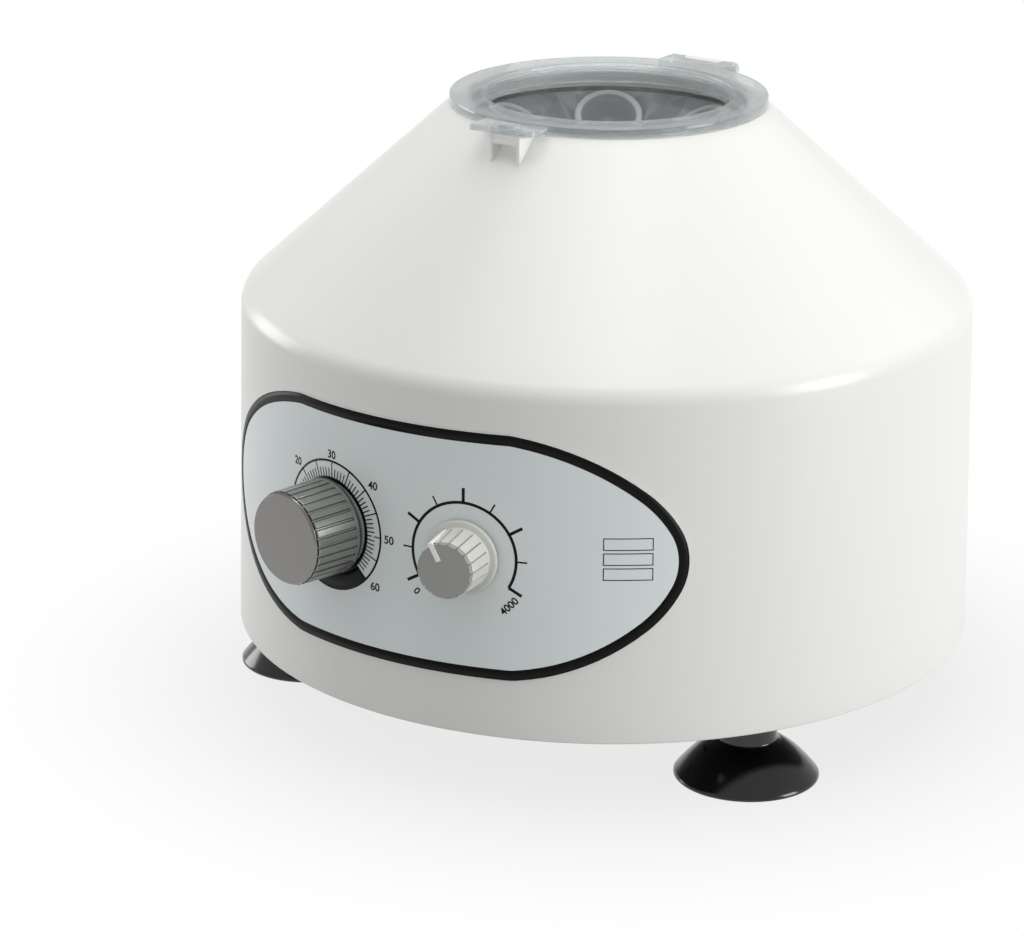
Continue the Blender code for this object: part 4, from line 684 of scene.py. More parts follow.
class CENTRIFUGE_OT_housing(bpy.types.Operator):
    """Moulded drum, cone and neck with the openings for the controls and the lead"""
    bl_idname = "centrifuge.housing"
    bl_label = "Housing"

    def execute(self, context):
        sizes = context.scene.centrifuge_housing
        shape = HousingShape(sizes)
        shell = surface("housing_shell", [(revolve(housing_outline(shape), 288), True, True)])
        gland_hole = 7.7 * MM
        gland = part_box("gland_body")
        gland_at = Vector((0, DRUM_FOOT_RADIUS, (gland[0].z + gland[1].z) / 2))
        for at, outwards, radius in ((TIMER, TIMER_OUT, BUSH_HOLE), (SPEED, SPEED_OUT, BUSH_HOLE),
                                     (gland_at, Vector((0, 1, 0)), gland_hole)):
            tool = cylinder("hole", radius, -3 * sizes.wall, sizes.wall,
                            local_frame(at, outwards))
            combine(shell, tool, "DIFFERENCE")
        tidy(shell.data)
        material = moulded_abs(context.scene.centrifuge_finishes.housing)
        finish_piece(shell, "chassis", [material], ["housing"])
        finish_piece(hinge_ear(shape), "chassis", [material])
        return {"FINISHED"}


def hinge_ear(shape):
    """The knuckle behind the neck: a web out of the cone that ends in a half round."""
    reach, foot, sink = HINGE.y, 3.0 * MM, 1.4 * MM
    front, back = reach - HINGE_RADIUS, reach + HINGE_RADIUS
    turn = spaced(0.0, math.pi, 16)
    knuckle = np.column_stack([reach + HINGE_RADIUS * np.cos(turn),
                               HINGE.z + HINGE_RADIUS * np.sin(turn)])
    web = np.array([(front, shape.cone_height(front) - sink),
                    (back + foot, shape.cone_height(back + foot) - sink)])
    half, pin_hole = shape.sizes.ear_half, 1.5 * MM
    ear = prism("hinge_ear", np.concatenate([web, knuckle]), -half, half, back_frame())
    combine(ear, cylinder("hole", pin_hole, -2 * half, 2 * half, pin_frame(), 24), "DIFFERENCE")
    tidy(ear.data, flat=0.5)
    return soften(ear, 0.35 * MM)


def back_frame():
    """X points backwards, Y up and Z across, for outlines drawn behind the neck."""
    return Matrix(((0, 0, 1, 0), (1, 0, 0, 0), (0, 1, 0, 0), (0, 0, 0, 1)))


def front_frame():
    """X points to the front, Y up and Z across, for outlines drawn before the neck."""
    return Matrix(((0, 0, -1, 0), (-1, 0, 0, 0), (0, 1, 0, 0), (0, 0, 0, 1)))


def pin_frame():
    """On the hinge pin, with Z along it."""
    return Matrix.Translation(HINGE) @ Matrix.Rotation(math.pi / 2, 4, "Y")


# Lid and latch

def lid_outline(sizes):
    """Half section of the lid from the window's middle, up its steps, over the flange and back."""
    top, under = LID_TOP, LID_TOP - sizes.thickness
    window_top = top - sizes.window_depth
    window_low = window_top - sizes.window
    edge, fine = 0.6 * MM, 0.14 * MM
    # The recess climbs in four ledges, each a little higher at its outer edge
    rise, step, slant, below, count = 1.05 * MM, 0.45 * MM, 0.1 * MM, 1.0 * MM, 4
    foot = sizes.recess - count * step
    corners = [(0.0, window_top, 0.0), (foot, window_top, 0.5 * MM)]
    for number in range(count):
        level = top - below - (count - 1 - number) * rise
        corners += [(foot + number * step, level, fine),
                    (foot + (number + 1) * step, level + slant, fine)]
    corners += [(sizes.recess, top, edge), (sizes.radius, top, edge),
                (sizes.radius, under, edge), (sizes.plug, under, 0.4 * MM),
                (sizes.plug, window_low, 0.5 * MM), (0.0, window_low, 0.0)]
    return soft_outline(corners, closed=False, steps=4)


class CENTRIFUGE_OT_lid(bpy.types.Operator):
    """Clear lid with its ridged recess, front tab, hook and rear knuckles"""
    bl_idname = "centrifuge.lid"
    bl_label = "Lid"

    def execute(self, context):
        sizes = context.scene.centrifuge_lid
        housing = HousingShape(context.scene.centrifuge_housing)
        lid = surface("lid_shell", [(revolve(lid_outline(sizes), 192), True, False)])
        for tool in (front_tab(sizes), raised_block(sizes), hook_tongue(), rear_plate(sizes),
                     hinge_barrel(sizes)):
            combine(lid, tool, "UNION")
        gap, past, pin_hole = 0.4 * MM, 9 * MM, 1.6 * MM
        half = housing.sizes.ear_half + gap
        reach = HINGE.y - HINGE_RADIUS - gap
        notch = prism("notch", box_outline(-half, reach, half, HINGE.y + past),
                      LID_TOP - past, LID_TOP + 5 * MM)
        combine(lid, notch, "DIFFERENCE")
        combine(lid, cylinder("hole", pin_hole, -15 * MM, 15 * MM, pin_frame(), 24),
                "DIFFERENCE")
        tidy(lid.data, 30.0)
        rim = clear_moulding("milky_rim", context.scene.centrifuge_finishes.lid, 0.76, 0.72, 0.05)
        window = clear_moulding("clear_window", linear("F6F8F8"), 1.0, 0.16, 0.04)
        finish_piece(lid, "lid", [rim, window], ["lid"])
        ledges = 2.2 * MM
        middles = face_array(lid.data, "center")
        on_window = np.hypot(middles[:, 0], middles[:, 1]) < sizes.recess - ledges
        lid.data.polygons.foreach_set("material_index", on_window.astype(np.int32))
        return {"FINISHED"}


def front_tab(sizes):
    """Finger tab: a plate thinner than the flange, its right corner rounder than its left."""
    left, right, reach, back = sizes.tab_left, sizes.tab_right, sizes.tab_reach, 52 * MM
    left_corner, right_corner, step_down = 1.2 * MM, 5 * MM, 0.5 * MM
    outline = soft_outline([(-left, -back, 0), (-left, -reach, left_corner),
                            (right, -reach, right_corner), (right, -back, 0)], steps=8)
    return soft_prism("tab", outline, LID_TOP - sizes.tab_thickness, LID_TOP - step_down,
                      Matrix(), 0.3 * MM)


def raised_block(sizes):
    """The thicker block in the middle of the tab: its top rises towards the lid."""
    front, back = sizes.tab_reach + 0.3 * MM, sizes.tab_reach - 3.5 * MM
    foot = LID_TOP - sizes.tab_thickness - 0.05 * MM
    outline = np.array([(front, foot), (front, LID_TOP - 0.1 * MM), (back, LID_TOP + 1.2 * MM),
                        (back - 0.6 * MM, LID_TOP + 0.9 * MM), (back - 0.9 * MM, foot)])
    return soft_prism("block", outline, -sizes.block_half, sizes.block_half, front_frame(),
                      0.35 * MM, 3)


def hook_tongue():
    """The tongue that drops behind the keeper's bar."""
    keeper = bpy.context.scene.centrifuge_keeper
    gap, thick, half = 0.5 * MM, 1.8 * MM, 4 * MM
    front = keeper.reach - keeper.bar_depth - gap
    low = keeper_top() - keeper.bar_height + 0.4 * MM
    return prism("tongue", box_outline(front - thick, low, front, LID_TOP - 1.5 * MM), -half,
                 half, front_frame())


def rear_plate(sizes):
    """The plate that joins the flange to the hinge barrel."""
    half = sizes.knuckle_half
    outline = box_outline(-half, sizes.plug + 3.2 * MM, half, HINGE.y)
    return soft_prism("plate", outline, LID_TOP - sizes.thickness + 0.1 * MM,
                      LID_TOP - 0.02 * MM, Matrix(), 0.3 * MM)


def hinge_barrel(sizes):
    """The barrel round the pin, from which the notch leaves two knuckles."""
    half = sizes.knuckle_half
    barrel = cylinder("barrel", HINGE_RADIUS, -half, half, pin_frame(), 40)
    return apply_modifiers(soften(barrel, 0.3 * MM, 2))


def keeper_top():
    """Height of the keeper's upper face, a little under the lid."""
    scene = bpy.context.scene
    return LID_TOP - scene.centrifuge_lid.tab_thickness - scene.centrifuge_keeper.gap


class CENTRIFUGE_OT_keeper(bpy.types.Operator):
    """Nylon keeper on the cone, under the lid's tab: two cheeks with a catch bar between them"""
    bl_idname = "centrifuge.keeper"
    bl_label = "Latch keeper"

    def execute(self, context):
        sizes = context.scene.centrifuge_keeper
        housing = HousingShape(context.scene.centrifuge_housing)
        top, sink = keeper_top(), 0.25 * MM
        heel = context.scene.centrifuge_lid.radius + 0.4 * MM
        cheek = np.array([(heel, housing.cone_height(heel) - sink), (heel, top),
                          (sizes.reach, top),
                          (sizes.reach, housing.cone_height(sizes.reach) - sink)])
        at, edge = front_frame(), 0.18 * MM
        keeper = soft_prism("keeper_bracket", cheek, -sizes.half, -sizes.half + sizes.cheek, at,
                            edge)
        right = soft_prism("cheek", cheek, sizes.half - sizes.cheek, sizes.half, at, edge)
        inner = sizes.half - sizes.cheek / 2
        low, back = top - sizes.bar_height, sizes.reach - sizes.bar_depth
        # The bar's front leans back, so that the hook can slide over it
        lean, bar_top = 1.1 * MM, top - 0.1 * MM
        section = np.array([(back, low), (sizes.reach, low), (sizes.reach, low + 0.4 * MM),
                            (sizes.reach - lean, bar_top), (back, bar_top)])
        bar = soft_prism("bar", section, -inner, inner, at, 0.25 * MM)
        combine(keeper, right, "UNION")
        combine(keeper, bar, "UNION")
        tidy(keeper.data, 35.0)
        material = moulded_plastic("moulded_nylon", linear("F4F4F1"), 0.34, 0.5 * MM, ior=1.53,
                                   subsurface_weight=0.1, subsurface_scale=2 * MM)
        finish_piece(keeper, "chassis", [material], ["latch_keeper"])
        return {"FINISHED"}


# Overlay and its print

# Radius in millimetres, and the slope in degrees at which each arc of the edge starts and ends
PANEL_ARCS = ((25.0, 0, 8), (90.0, 8, 38), (45.0, 38, 60), (22.6, 60, 90))


def overlay_quarter(sizes, steps=10):
    """Upper right quarter of the overlay's edge: along, height and the edge's slope angle.

    A straight stretch is followed by arcs of four radii; each adds r (sin a - sin a0) along
    and takes r (cos a0 - cos a) off the height.
    """
    along = [spaced(0.0, sizes.straight, 16)]
    drop = [np.zeros(17)]
    slope = [np.zeros(17)]
    for radius, start, end in PANEL_ARCS:
        angle = np.radians(spaced(start, end, steps))[1:]
        first = math.radians(start)
        along.append(along[-1][-1] + radius * MM * (np.sin(angle) - math.sin(first)))
        drop.append(drop[-1][-1] + radius * MM * (math.cos(first) - np.cos(angle)))
        slope.append(angle)
    along, drop, slope = map(np.concatenate, (along, drop, slope))
    return along, drop[-1] - drop, slope


def wrap(along, height, lift):
    """A place on the overlay as a point: round the drum by along, out from its skin by lift."""
    shape = HousingShape(bpy.context.scene.centrifuge_housing)
    panel = bpy.context.scene.centrifuge_panel
    turn = along / shape.drum_radius(DRUM_FOOT + panel.centre)
    radius = shape.drum_radius(height) + lift
    return np.stack([radius * np.sin(turn), -radius * np.cos(turn), height + 0.0 * turn],
                    axis=-1)


def thicken(thing, thickness):
    """A sheet's thickness, laid inwards from the face that was drawn."""
    step = thing.modifiers.new("thickness", "SOLIDIFY")
    step.thickness = thickness
    step.offset = -1.0
    return thing


def face_outwards(mesh):
    """Turns an open sheet on the drum so that its normals point away from the spin axis."""
    if (face_array(mesh, "center")[:, :2] * face_array(mesh, "normal")[:, :2]).sum() < 0:
        mesh.flip_normals()


class CENTRIFUGE_OT_overlay(bpy.types.Operator):
    """Film on the front of the drum with its black border"""
    bl_idname = "centrifuge.overlay"
    bl_label = "Overlay"

    def execute(self, context):
        sizes = context.scene.centrifuge_panel
        finishes = context.scene.centrifuge_finishes
        along, rise, slope = overlay_quarter(sizes)
        across = spaced(-1.0, 1.0, 40)
        columns = np.concatenate([-along[:0:-1], along])
        heights = np.concatenate([rise[:0:-1], rise])
        sheet = wrap(*tilted(columns[:, None] + 0 * across, heights[:, None] * across), sizes.lift)
        film = surface("overlay_film", [(sheet, False, False)])
        face_outwards(film.data)
        apply_modifiers(thicken(film, sizes.film))
        for at, outwards in ((TIMER, TIMER_OUT), (SPEED, SPEED_OUT)):
            tool = cylinder("hole", BUSH_HOLE, -8 * MM, 8 * MM, local_frame(at, outwards))
            combine(film, tool, "DIFFERENCE")
        film.data.shade_smooth()
        film.data.set_sharp_from_angle(angle=math.radians(40))
        finish_piece(film, "chassis", [printed_film(finishes.film)],
                     ["control_panel"])

        ink = screen_ink(finishes.ink)
        printed("overlay_border", [border_band(along, rise, slope, sizes)], ink, sizes)
        return {"FINISHED"}


def tilted(along, rise):
    """A place relative to the overlay's middle, turned by its tilt, as (along, height)."""
    sizes = bpy.context.scene.centrifuge_panel
    cosine, sine = math.cos(sizes.tilt), math.sin(sizes.tilt)
    return along * cosine - rise * sine, DRUM_FOOT + sizes.centre + along * sine + rise * cosine


def border_band(along, rise, slope, sizes):
    """The border: the edge's whole loop, and the same loop moved inwards along its normal."""
    full_along = np.concatenate([along, along[-2::-1], -along[1:], -along[-2:0:-1]])
    full_rise = np.concatenate([rise, -rise[-2::-1], -rise[1:], rise[-2:0:-1]])
    out_along = np.concatenate([np.sin(slope), np.sin(slope[-2::-1]), -np.sin(slope[1:]),
                                -np.sin(slope[-2:0:-1])])
    out_rise = np.concatenate([np.cos(slope), -np.cos(slope[-2::-1]), -np.cos(slope[1:]),
                               np.cos(slope[-2:0:-1])])
    depth = np.array([0.05 * MM, sizes.border / 2, sizes.border])
    return (*tilted(full_along[:, None] - depth * out_along[:, None],
                    full_rise[:, None] - depth * out_rise[:, None]), True)


def printed(name, patches, ink, sizes):
    """A layer of print from patches (along, height, closed), raised by its own thickness."""
    sheets = [(wrap(along, height, sizes.lift + sizes.ink), closed, False)
              for along, height, closed in patches]
    finish_print(surface(name, sheets), ink, sizes)


def finish_print(thing, ink, sizes):
    """Faces a layer of print outwards, thickens it and gives it its ink."""
    face_outwards(thing.data)
    thicken(thing, sizes.ink - PRINT_GAP)
    finish_piece(thing, "chassis", [ink])


def ring_patch(centre, inner, outer, start, end, steps):
    """Part of a ring on the overlay between two angles in degrees, counter-clockwise."""
    turn = np.radians(spaced(start, end, steps))[:, None]
    radius = np.array([inner, outer])
    return (centre[0] + radius * np.cos(turn), centre[1] + radius * np.sin(turn),
            abs(end - start) >= 360)


def tick_patch(centre, angle, inner, outer, width):
    """A radial mark: a thin rectangle turned to its angle in degrees."""
    turn = math.radians(angle)
    radius = np.array([inner, outer])[:, None]
    side = np.array([-width / 2, width / 2])
    return (centre[0] + radius * math.cos(turn) - side * math.sin(turn),
            centre[1] + radius * math.sin(turn) + side * math.cos(turn), False)


def frame_patch(left, right, low, high, width):
    """A rectangular outline of a width: a closed strip, in steps short enough for the drum."""
    corners = box_outline(left, low, right, high)
    inward = np.array([(1, 1), (-1, 1), (-1, -1), (1, -1)]) * width
    share = np.arange(8)[:, None] / 8

    def loop(points):
        return np.concatenate([start + (end - start) * share
                               for start, end in zip(points, np.roll(points, -1, axis=0))])

    strip = np.stack([loop(corners), loop(corners + inward)], axis=1)
    return strip[..., 0], strip[..., 1], True


def numeral_mesh(text, height):
    """A number as a flat mesh, centred on the origin, with its strokes thickened a little."""
    share_of_size = 0.73
    curve = bpy.data.curves.new("numeral", "FONT")
    curve.body = text
    curve.size = height / share_of_size
    curve.offset = 0.075 * MM
    curve.align_x = "CENTER"
    curve.align_y = "CENTER"
    holder = stand("numeral", curve)
    mesh = final_mesh(holder)
    bpy.data.objects.remove(holder)
    return mesh


def place_numerals(name, marks, height, ink, sizes):
    """Numbers on the overlay: each text at (along, height above the bench), turned by degrees."""
    joined = bmesh.new()
    for text, along, level, turn in marks:
        mesh = numeral_mesh(text, height)
        x, y, _ = vertex_array(mesh).T
        angle = math.radians(turn)
        curved = wrap(along + x * math.cos(angle) - y * math.sin(angle),
                      level + x * math.sin(angle) + y * math.cos(angle),
                      sizes.lift + sizes.ink)
        mesh.vertices.foreach_set("co", curved.ravel())
        joined.from_mesh(mesh)
        bpy.data.meshes.remove(mesh)
    whole = bpy.data.meshes.new(name)
    joined.to_mesh(whole)
    joined.free()
    finish_print(stand(name, whole), ink, sizes)


def on_skin(point):
    """A control's place on the overlay, as (along, height)."""
    shape = HousingShape(bpy.context.scene.centrifuge_housing)
    panel = bpy.context.scene.centrifuge_panel
    reference = shape.drum_radius(DRUM_FOOT + panel.centre)
    return math.atan2(point.x, -point.y) * reference, point.z


def around(centre, reach, angle):
    """The place at a distance and an angle in degrees from a control's middle."""
    turn = math.radians(angle)
    return centre[0] + reach * math.cos(turn), centre[1] + reach * math.sin(turn)


class CENTRIFUGE_OT_timer_scale(bpy.types.Operator):
    """Minute marks, ring, solid sector and numbers round the timer's knob"""
    bl_idname = "centrifuge.timer_scale"
    bl_label = "Timer scale"

    def execute(self, context):
        sizes = context.scene.centrifuge_panel
        ink = bpy.data.materials["screen_ink"]
        centre = on_skin(TIMER)
        zero, per_minute, minutes = 223.5, 4.45, 60
        last = zero - per_minute * minutes
        inner, hub, minor, outer = 15.6 * MM, 16.9 * MM, 19.9 * MM, 22.45 * MM
        line, major_line, minor_line = 0.75 * MM, 0.45 * MM, 0.42 * MM
        patches = [ring_patch(centre, outer - line / 2, outer + line / 2, 0, 360, 160),
                   ring_patch(centre, inner, hub, 0, 360, 120),
                   ring_patch(centre, inner, outer, zero - 360, last, 40)]
        for minute in range(minutes + 1):
            end, width = (outer, major_line) if minute % 5 == 0 else (minor, minor_line)
            patches.append(tick_patch(centre, zero - per_minute * minute, inner, end, width))
        printed("timer_scale", patches, ink, sizes)
        # Each number with its angle in degrees and its distance in millimetres
        numbers = (("0", 223.5, 26.7), ("10", 180.0, 26.2), ("20", 136.3, 25.8),
                   ("30", 90.4, 24.7), ("40", 43.6, 26.2), ("50", 0.7, 25.9), ("60", -40.8, 26.7))
        marks = [(text, *around(centre, reach * MM, angle), 0.0)
                 for text, angle, reach in numbers]
        place_numerals("timer_numbers", marks, 2.9 * MM, ink, sizes)
        return {"FINISHED"}


class CENTRIFUGE_OT_speed_scale(bpy.types.Operator):
    """Arc, marks and end numbers round the speed knob, and three bare frames beside it"""
    bl_idname = "centrifuge.speed_scale"
    bl_label = "Speed scale"

    def execute(self, context):
        sizes = context.scene.centrifuge_panel
        ink = bpy.data.materials["screen_ink"]
        centre = on_skin(SPEED)
        start, end, step = -30, 210, 30
        radius, line = 18.5 * MM, 1.0 * MM
        major, minor = (23.6 * MM, 1.05 * MM), (22.2 * MM, 0.55 * MM)
        patches = [ring_patch(centre, radius - line / 2, radius + line / 2, start, end, 100)]
        for angle in range(start, end + 1, step):
            reach, width = major if (angle - start) % (2 * step) == 0 else minor
            patches.append(tick_patch(centre, angle, radius, reach, width))
        left, right, pitch, tall = 74.1 * MM, 90.6 * MM, 5.2 * MM, 4.3 * MM
        lowest, frame_line = DRUM_FOOT + 58.3 * MM, 0.32 * MM
        for number in range(3):
            low = lowest + number * pitch
            patches.append(frame_patch(left, right, low, low + tall, frame_line))
        printed("speed_scale", patches, ink, sizes)
        # Each end number with its angle and its own turn, in degrees
        marks = [(text, *around(centre, 22.7 * MM, angle), turn)
                 for text, angle, turn in (("0", 222, -42), ("4000", -44, 46))]
        place_numerals("speed_numbers", marks, 2.7 * MM, ink, sizes)
        return {"FINISHED"}


# Knobs

def fluted(name, outline, count, shares, groove, depth, matrix, closed=True, sharp=25.0):
    """A turned piece with grooves round it, from (radius, level, weight) outline points.

    Each of count pitches is sampled at shares, where groove gives the groove's profile; a
    point's radius loses depth x groove x weight, so weight 0 leaves that part round.
    """
    radius, level, weight = np.array(outline).T
    turn = (np.arange(count)[:, None] + shares).ravel() * math.tau / count
    reach = radius - depth * weight * np.tile(groove, count)[:, None]
    grid = np.stack([reach * np.cos(turn)[:, None], reach * np.sin(turn)[:, None],
                     level + 0.0 * reach], axis=-1)
    return surface(name, [(moved(grid, matrix), True, closed)], sharp)


class CENTRIFUGE_OT_timer_knob(bpy.types.Operator):
    """Ribbed timer grip on its dark skirt, with a polished cap"""
    bl_idname = "centrifuge.timer_knob"
    bl_label = "Timer knob"

    def execute(self, context):
        sizes = context.scene.centrifuge_knobs
        finishes = context.scene.centrifuge_finishes
        at = local_frame(TIMER, TIMER_OUT)
        base, front = span("timer_knob", at)
        seam = base + 0.9 * MM
        # Radius and level in millimetres, and how deep the grooves are there
        outline = np.array([(14.0, 0.0, 0), (16.1, 0.0, 0), (16.5, 0.3, 0), (16.5, 0.75, 0),
                            (16.2, 0.85, 0), (16.2, 1.0, 0), (16.55, 1.15, 0), (16.5, 2.4, 0),
                            (16.5, 2.5, 1), (16.4, 10.0, 1), (16.3, 18.6, 1), (16.05, 19.0, 0.9),
                            (15.75, 18.9, 0.6), (15.6, 18.4, 0), (11.3, 18.4, 0),
                            (11.3, 17.4, 0), (3.3, 17.4, 0), (3.3, 16.0, 0), (14.0, 16.0, 0)])
        outline = outline * (MM, MM, 1.0) + (0.0, base, 0.0)
        # A rib, the wall down to a thin dark line, the groove's floor, and the same back up
        shares = np.array([0.0, 0.02, 0.06, 0.1, 0.26, 0.3, 0.34, 0.36, 0.53, 0.69, 0.85])
        groove = np.array([0.0, 0.1, 1.0, 0.55, 0.55, 1.0, 0.1, 0.0, 0.0, 0.0, 0.0])
        thing = fluted("timer_grip", outline, sizes.ribs, shares, groove, sizes.rib_depth, at)
        local = moved(vertex_array(thing.data), at.inverted())
        finish_piece(thing, "timer_dial",
                     [satin_grip(finishes.grip), dark_skirt()], ["timer_knob"])
        paint_below(thing, local, seam, 1)

        high = span("timer_knob_cap", at)[1]
        radius, neck = sizes.timer_cap, sizes.timer_cap - 0.6 * MM
        outline = soft_outline([(0.0, front - 0.5 * MM, 0.0), (neck, front - 0.5 * MM, 0.0),
                                (neck, front + 0.3 * MM, 0.05 * MM),
                                (radius, front + 0.4 * MM, 0.1 * MM),
                                (radius, high - 0.7 * MM, 0.1 * MM),
                                (radius - 0.45 * MM, high, 0.08 * MM), (0.0, high, 0.0)],
                               closed=False, steps=3)
        cap = surface("timer_grip_cap", [(moved(revolve(outline, 192), at), True, False)])
        finish_piece(cap, "timer_dial",
                     [spun_aluminium(finishes.cap, TIMER, TIMER_OUT)], ["timer_knob_cap"])
        return {"FINISHED"}


def paint_below(thing, local, level, index):
    """Gives a second material to the faces whose corners all lie below a local level."""
    mesh = thing.data
    starts = np.empty(len(mesh.polygons), np.int32)
    corners = np.empty(len(mesh.loops), np.int32)
    mesh.polygons.foreach_get("loop_start", starts)
    mesh.loops.foreach_get("vertex_index", corners)
    highest = np.maximum.reduceat(local[corners, 2], starts)
    mesh.polygons.foreach_set("material_index", np.where(highest < level, index, 0)
                              .astype(np.int32))


class CENTRIFUGE_OT_speed_knob(bpy.types.Operator):
    """Panelled speed knob on its round skirt, with a grey cap and a white pointer"""
    bl_idname = "centrifuge.speed_knob"
    bl_label = "Speed knob"

    def execute(self, context):
        sizes = context.scene.centrifuge_knobs
        finishes = context.scene.centrifuge_finishes
        at = local_frame(SPEED, SPEED_OUT)
        base, front = span("speed_knob", at)
        skirt = sizes.speed_skirt
        shares = np.array([0.0, 0.05, 0.09, 0.13, 0.18, 0.3, 0.5, 0.7, 0.9])
        # The narrow groove beside each panel, and the panel's own flatness
        groove = np.array([0.0, 0.85, 1.0, 0.85, 0.0, 0.1, 0.17, 0.12, 0.02])
        outline = np.array([(8.0, 0.0, 0), (0.0, 0.0, 0), (0.0, 0.25, 0), (0.0, 1.0, 0),
                            (0.0, 1.35, 0), (10.7, 1.75, 0), (10.5, 2.1, 0), (10.5, 2.6, 0),
                            (10.75, 2.75, 1), (10.5, 6.0, 1), (10.1, 10.0, 1), (9.9, 13.4, 1),
                            (9.7, 13.8, 1), (2.0, 13.8, 0), (2.0, 12.0, 0), (8.0, 12.0, 0)])
        outline = outline * (MM, MM, 1.0) + (0.0, base, 0.0)
        outline[1:5, 0] = skirt - np.array([0.35, 0.0, 0.1, 0.55]) * MM
        thing = fluted("speed_grip", outline, sizes.flutes, shares, groove, sizes.flute_depth,
                       at, sharp=22.0)
        material = moulded_plastic("knob_abs", finishes.knob, 0.42, 0.4 * MM, ior=1.5)
        finish_piece(thing, "speed_dial", [material], ["speed_knob"])

        low, high = front + 0.1 * MM, front + 1.7 * MM
        radius = sizes.speed_cap
        outline = [(0.0, low, 0), (radius - 0.25 * MM, low, 1), (radius, low + 0.15 * MM, 1),
                   (radius, high - 0.2 * MM, 1), (radius - 0.2 * MM, high, 1), (0.0, high, 0)]
        cap = fluted("speed_grip_cap", outline, sizes.flutes, shares, groove,
                     0.8 * sizes.flute_depth, at, closed=False, sharp=30.0)
        material = moulded_plastic("cap_abs", finishes.knob_cap, 0.5, 0.4 * MM, ior=1.5)
        finish_piece(cap, "speed_dial", [material], ["speed_knob_cap"])

        low = span("speed_knob_pointer", at)[0]
        tip, top, edge, sunk = 3.7 * MM, high + 0.3 * MM, radius + 1.05 * MM, 0.8 * MM
        outline = np.array([(tip, top), (edge, top), (edge + 0.25 * MM, low),
                            (edge - sunk, low), (edge - sunk, top - sunk), (tip, top - sunk)])
        standing = at @ Matrix.Rotation(POINTER_TURN, 4, "Z") @ Matrix.Rotation(math.pi / 2, 4, "X")
        pointer = prism("speed_pointer", outline, -sizes.pointer / 2, sizes.pointer / 2, standing)
        soften(pointer, 0.15 * MM)
        material = moulded_plastic("pointer_abs", linear("FBFBF9"), 0.4, 0.4 * MM, drift=0.02)
        finish_piece(pointer, "speed_dial", [material], ["speed_knob_pointer"])
        return {"FINISHED"}


# Feet, rotor and sleeves

class CENTRIFUGE_OT_feet(bpy.types.Operator):
    """Three rubber suction cups on their necks"""
    bl_idname = "centrifuge.feet"
    bl_label = "Suction feet"

    def execute(self, context):
        material = gloss_rubber(context.scene.centrifuge_finishes.rubber)
        neck, cup, lip, cup_height = 10.3 * MM, 25.1 * MM, 1.0 * MM, 12.8 * MM
        shoulder = neck + 0.8 * MM
        share = spaced(0.0, 1.0, 24)
        dome = np.column_stack([shoulder + (cup - shoulder) * share,
                                lip + (cup_height - lip) * (1 - share ** 1.5)])
        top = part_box("suction_foot_1")[1].z
        bolt, bolt_end, hollow_height, rim = 3.3 * MM, 15 * MM, 7.5 * MM, 4.4 * MM
        turn = np.radians(spaced(0, 85, 14))
        hollow = np.column_stack([(cup - rim) * np.cos(turn), hollow_height * np.sin(turn)])
        # From the bolt's hole over the neck and the dome to the lip, and back under the cup
        outline = np.concatenate([
            [(0.0, bolt_end), (bolt, bolt_end), (bolt, top)],
            soft_outline([(bolt, top, 0), (neck, top, 0.8 * MM),
                          (neck, cup_height + 1.2 * MM, 0.8 * MM), (*dome[1], 0)],
                         closed=False)[1:-1],
            dome[1:], [(cup, 0.3 * MM), (cup - 0.3 * MM, 0.0)], hollow, [(0.0, hollow_height)]])
        for number in (1, 2, 3):
            low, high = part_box(f"suction_foot_{number}")
            middle = Matrix.Translation(((low.x + high.x) / 2, (low.y + high.y) / 2, 0.0))
            grid = moved(revolve(outline, 96), middle)
            foot = surface(f"rubber_foot_{number}", [(grid, True, False)], 50.0)
            finish_piece(foot, "chassis", [material],
                         [f"suction_foot_{number}"])
        return {"FINISHED"}


def tube_frame(number):
    """At a sleeve's mouth, with Z up out of the tube."""
    azimuth = math.radians(TUBE_FIRST + number * 360 / TUBE_COUNT)
    return (Matrix.Rotation(azimuth, 4, "Z") @ Matrix.Translation((0, -TUBE_CIRCLE, TUBE_MOUTH))
            @ Matrix.Rotation(-TUBE_TILT, 4, "X"))


class CENTRIFUGE_OT_sleeves(bpy.types.Operator):
    """Six translucent sleeves, each with a collar and a round bottom"""
    bl_idname = "centrifuge.sleeves"
    bl_label = "Tube sleeves"

    def execute(self, context):
        material = translucent_sleeve()
        outer, wall, long = 11.2 * MM, 1.3 * MM, 109.6 * MM
        inner, collar, collar_height = outer - wall, 12.3 * MM, 3.0 * MM
        bulb = outer - long
        bottom = arc_points(outer, bulb, 0, -90, 12)
        inside = arc_points(inner, bulb, 0, -90, 12)[::-1]
        rim = soft_outline([(inner, -6 * MM, 0), (inner, 0, 0.5 * MM), (collar, 0, 0.6 * MM),
                            (collar, -collar_height, 0.3 * MM), (outer, -collar_height, 0.2 * MM),
                            (outer, -8 * MM, 0)], closed=False)
        outline = np.concatenate([inside, rim, bottom])
        for number in range(TUBE_COUNT):
            grid = moved(revolve(outline, 72), tube_frame(number))
            sleeve = surface(f"sleeve_{number + 1}", [(grid, True, False)], 50.0)
            finish_piece(sleeve, "rotor", [material], [f"tube_sleeve_{number + 1}"])
        return {"FINISHED"}


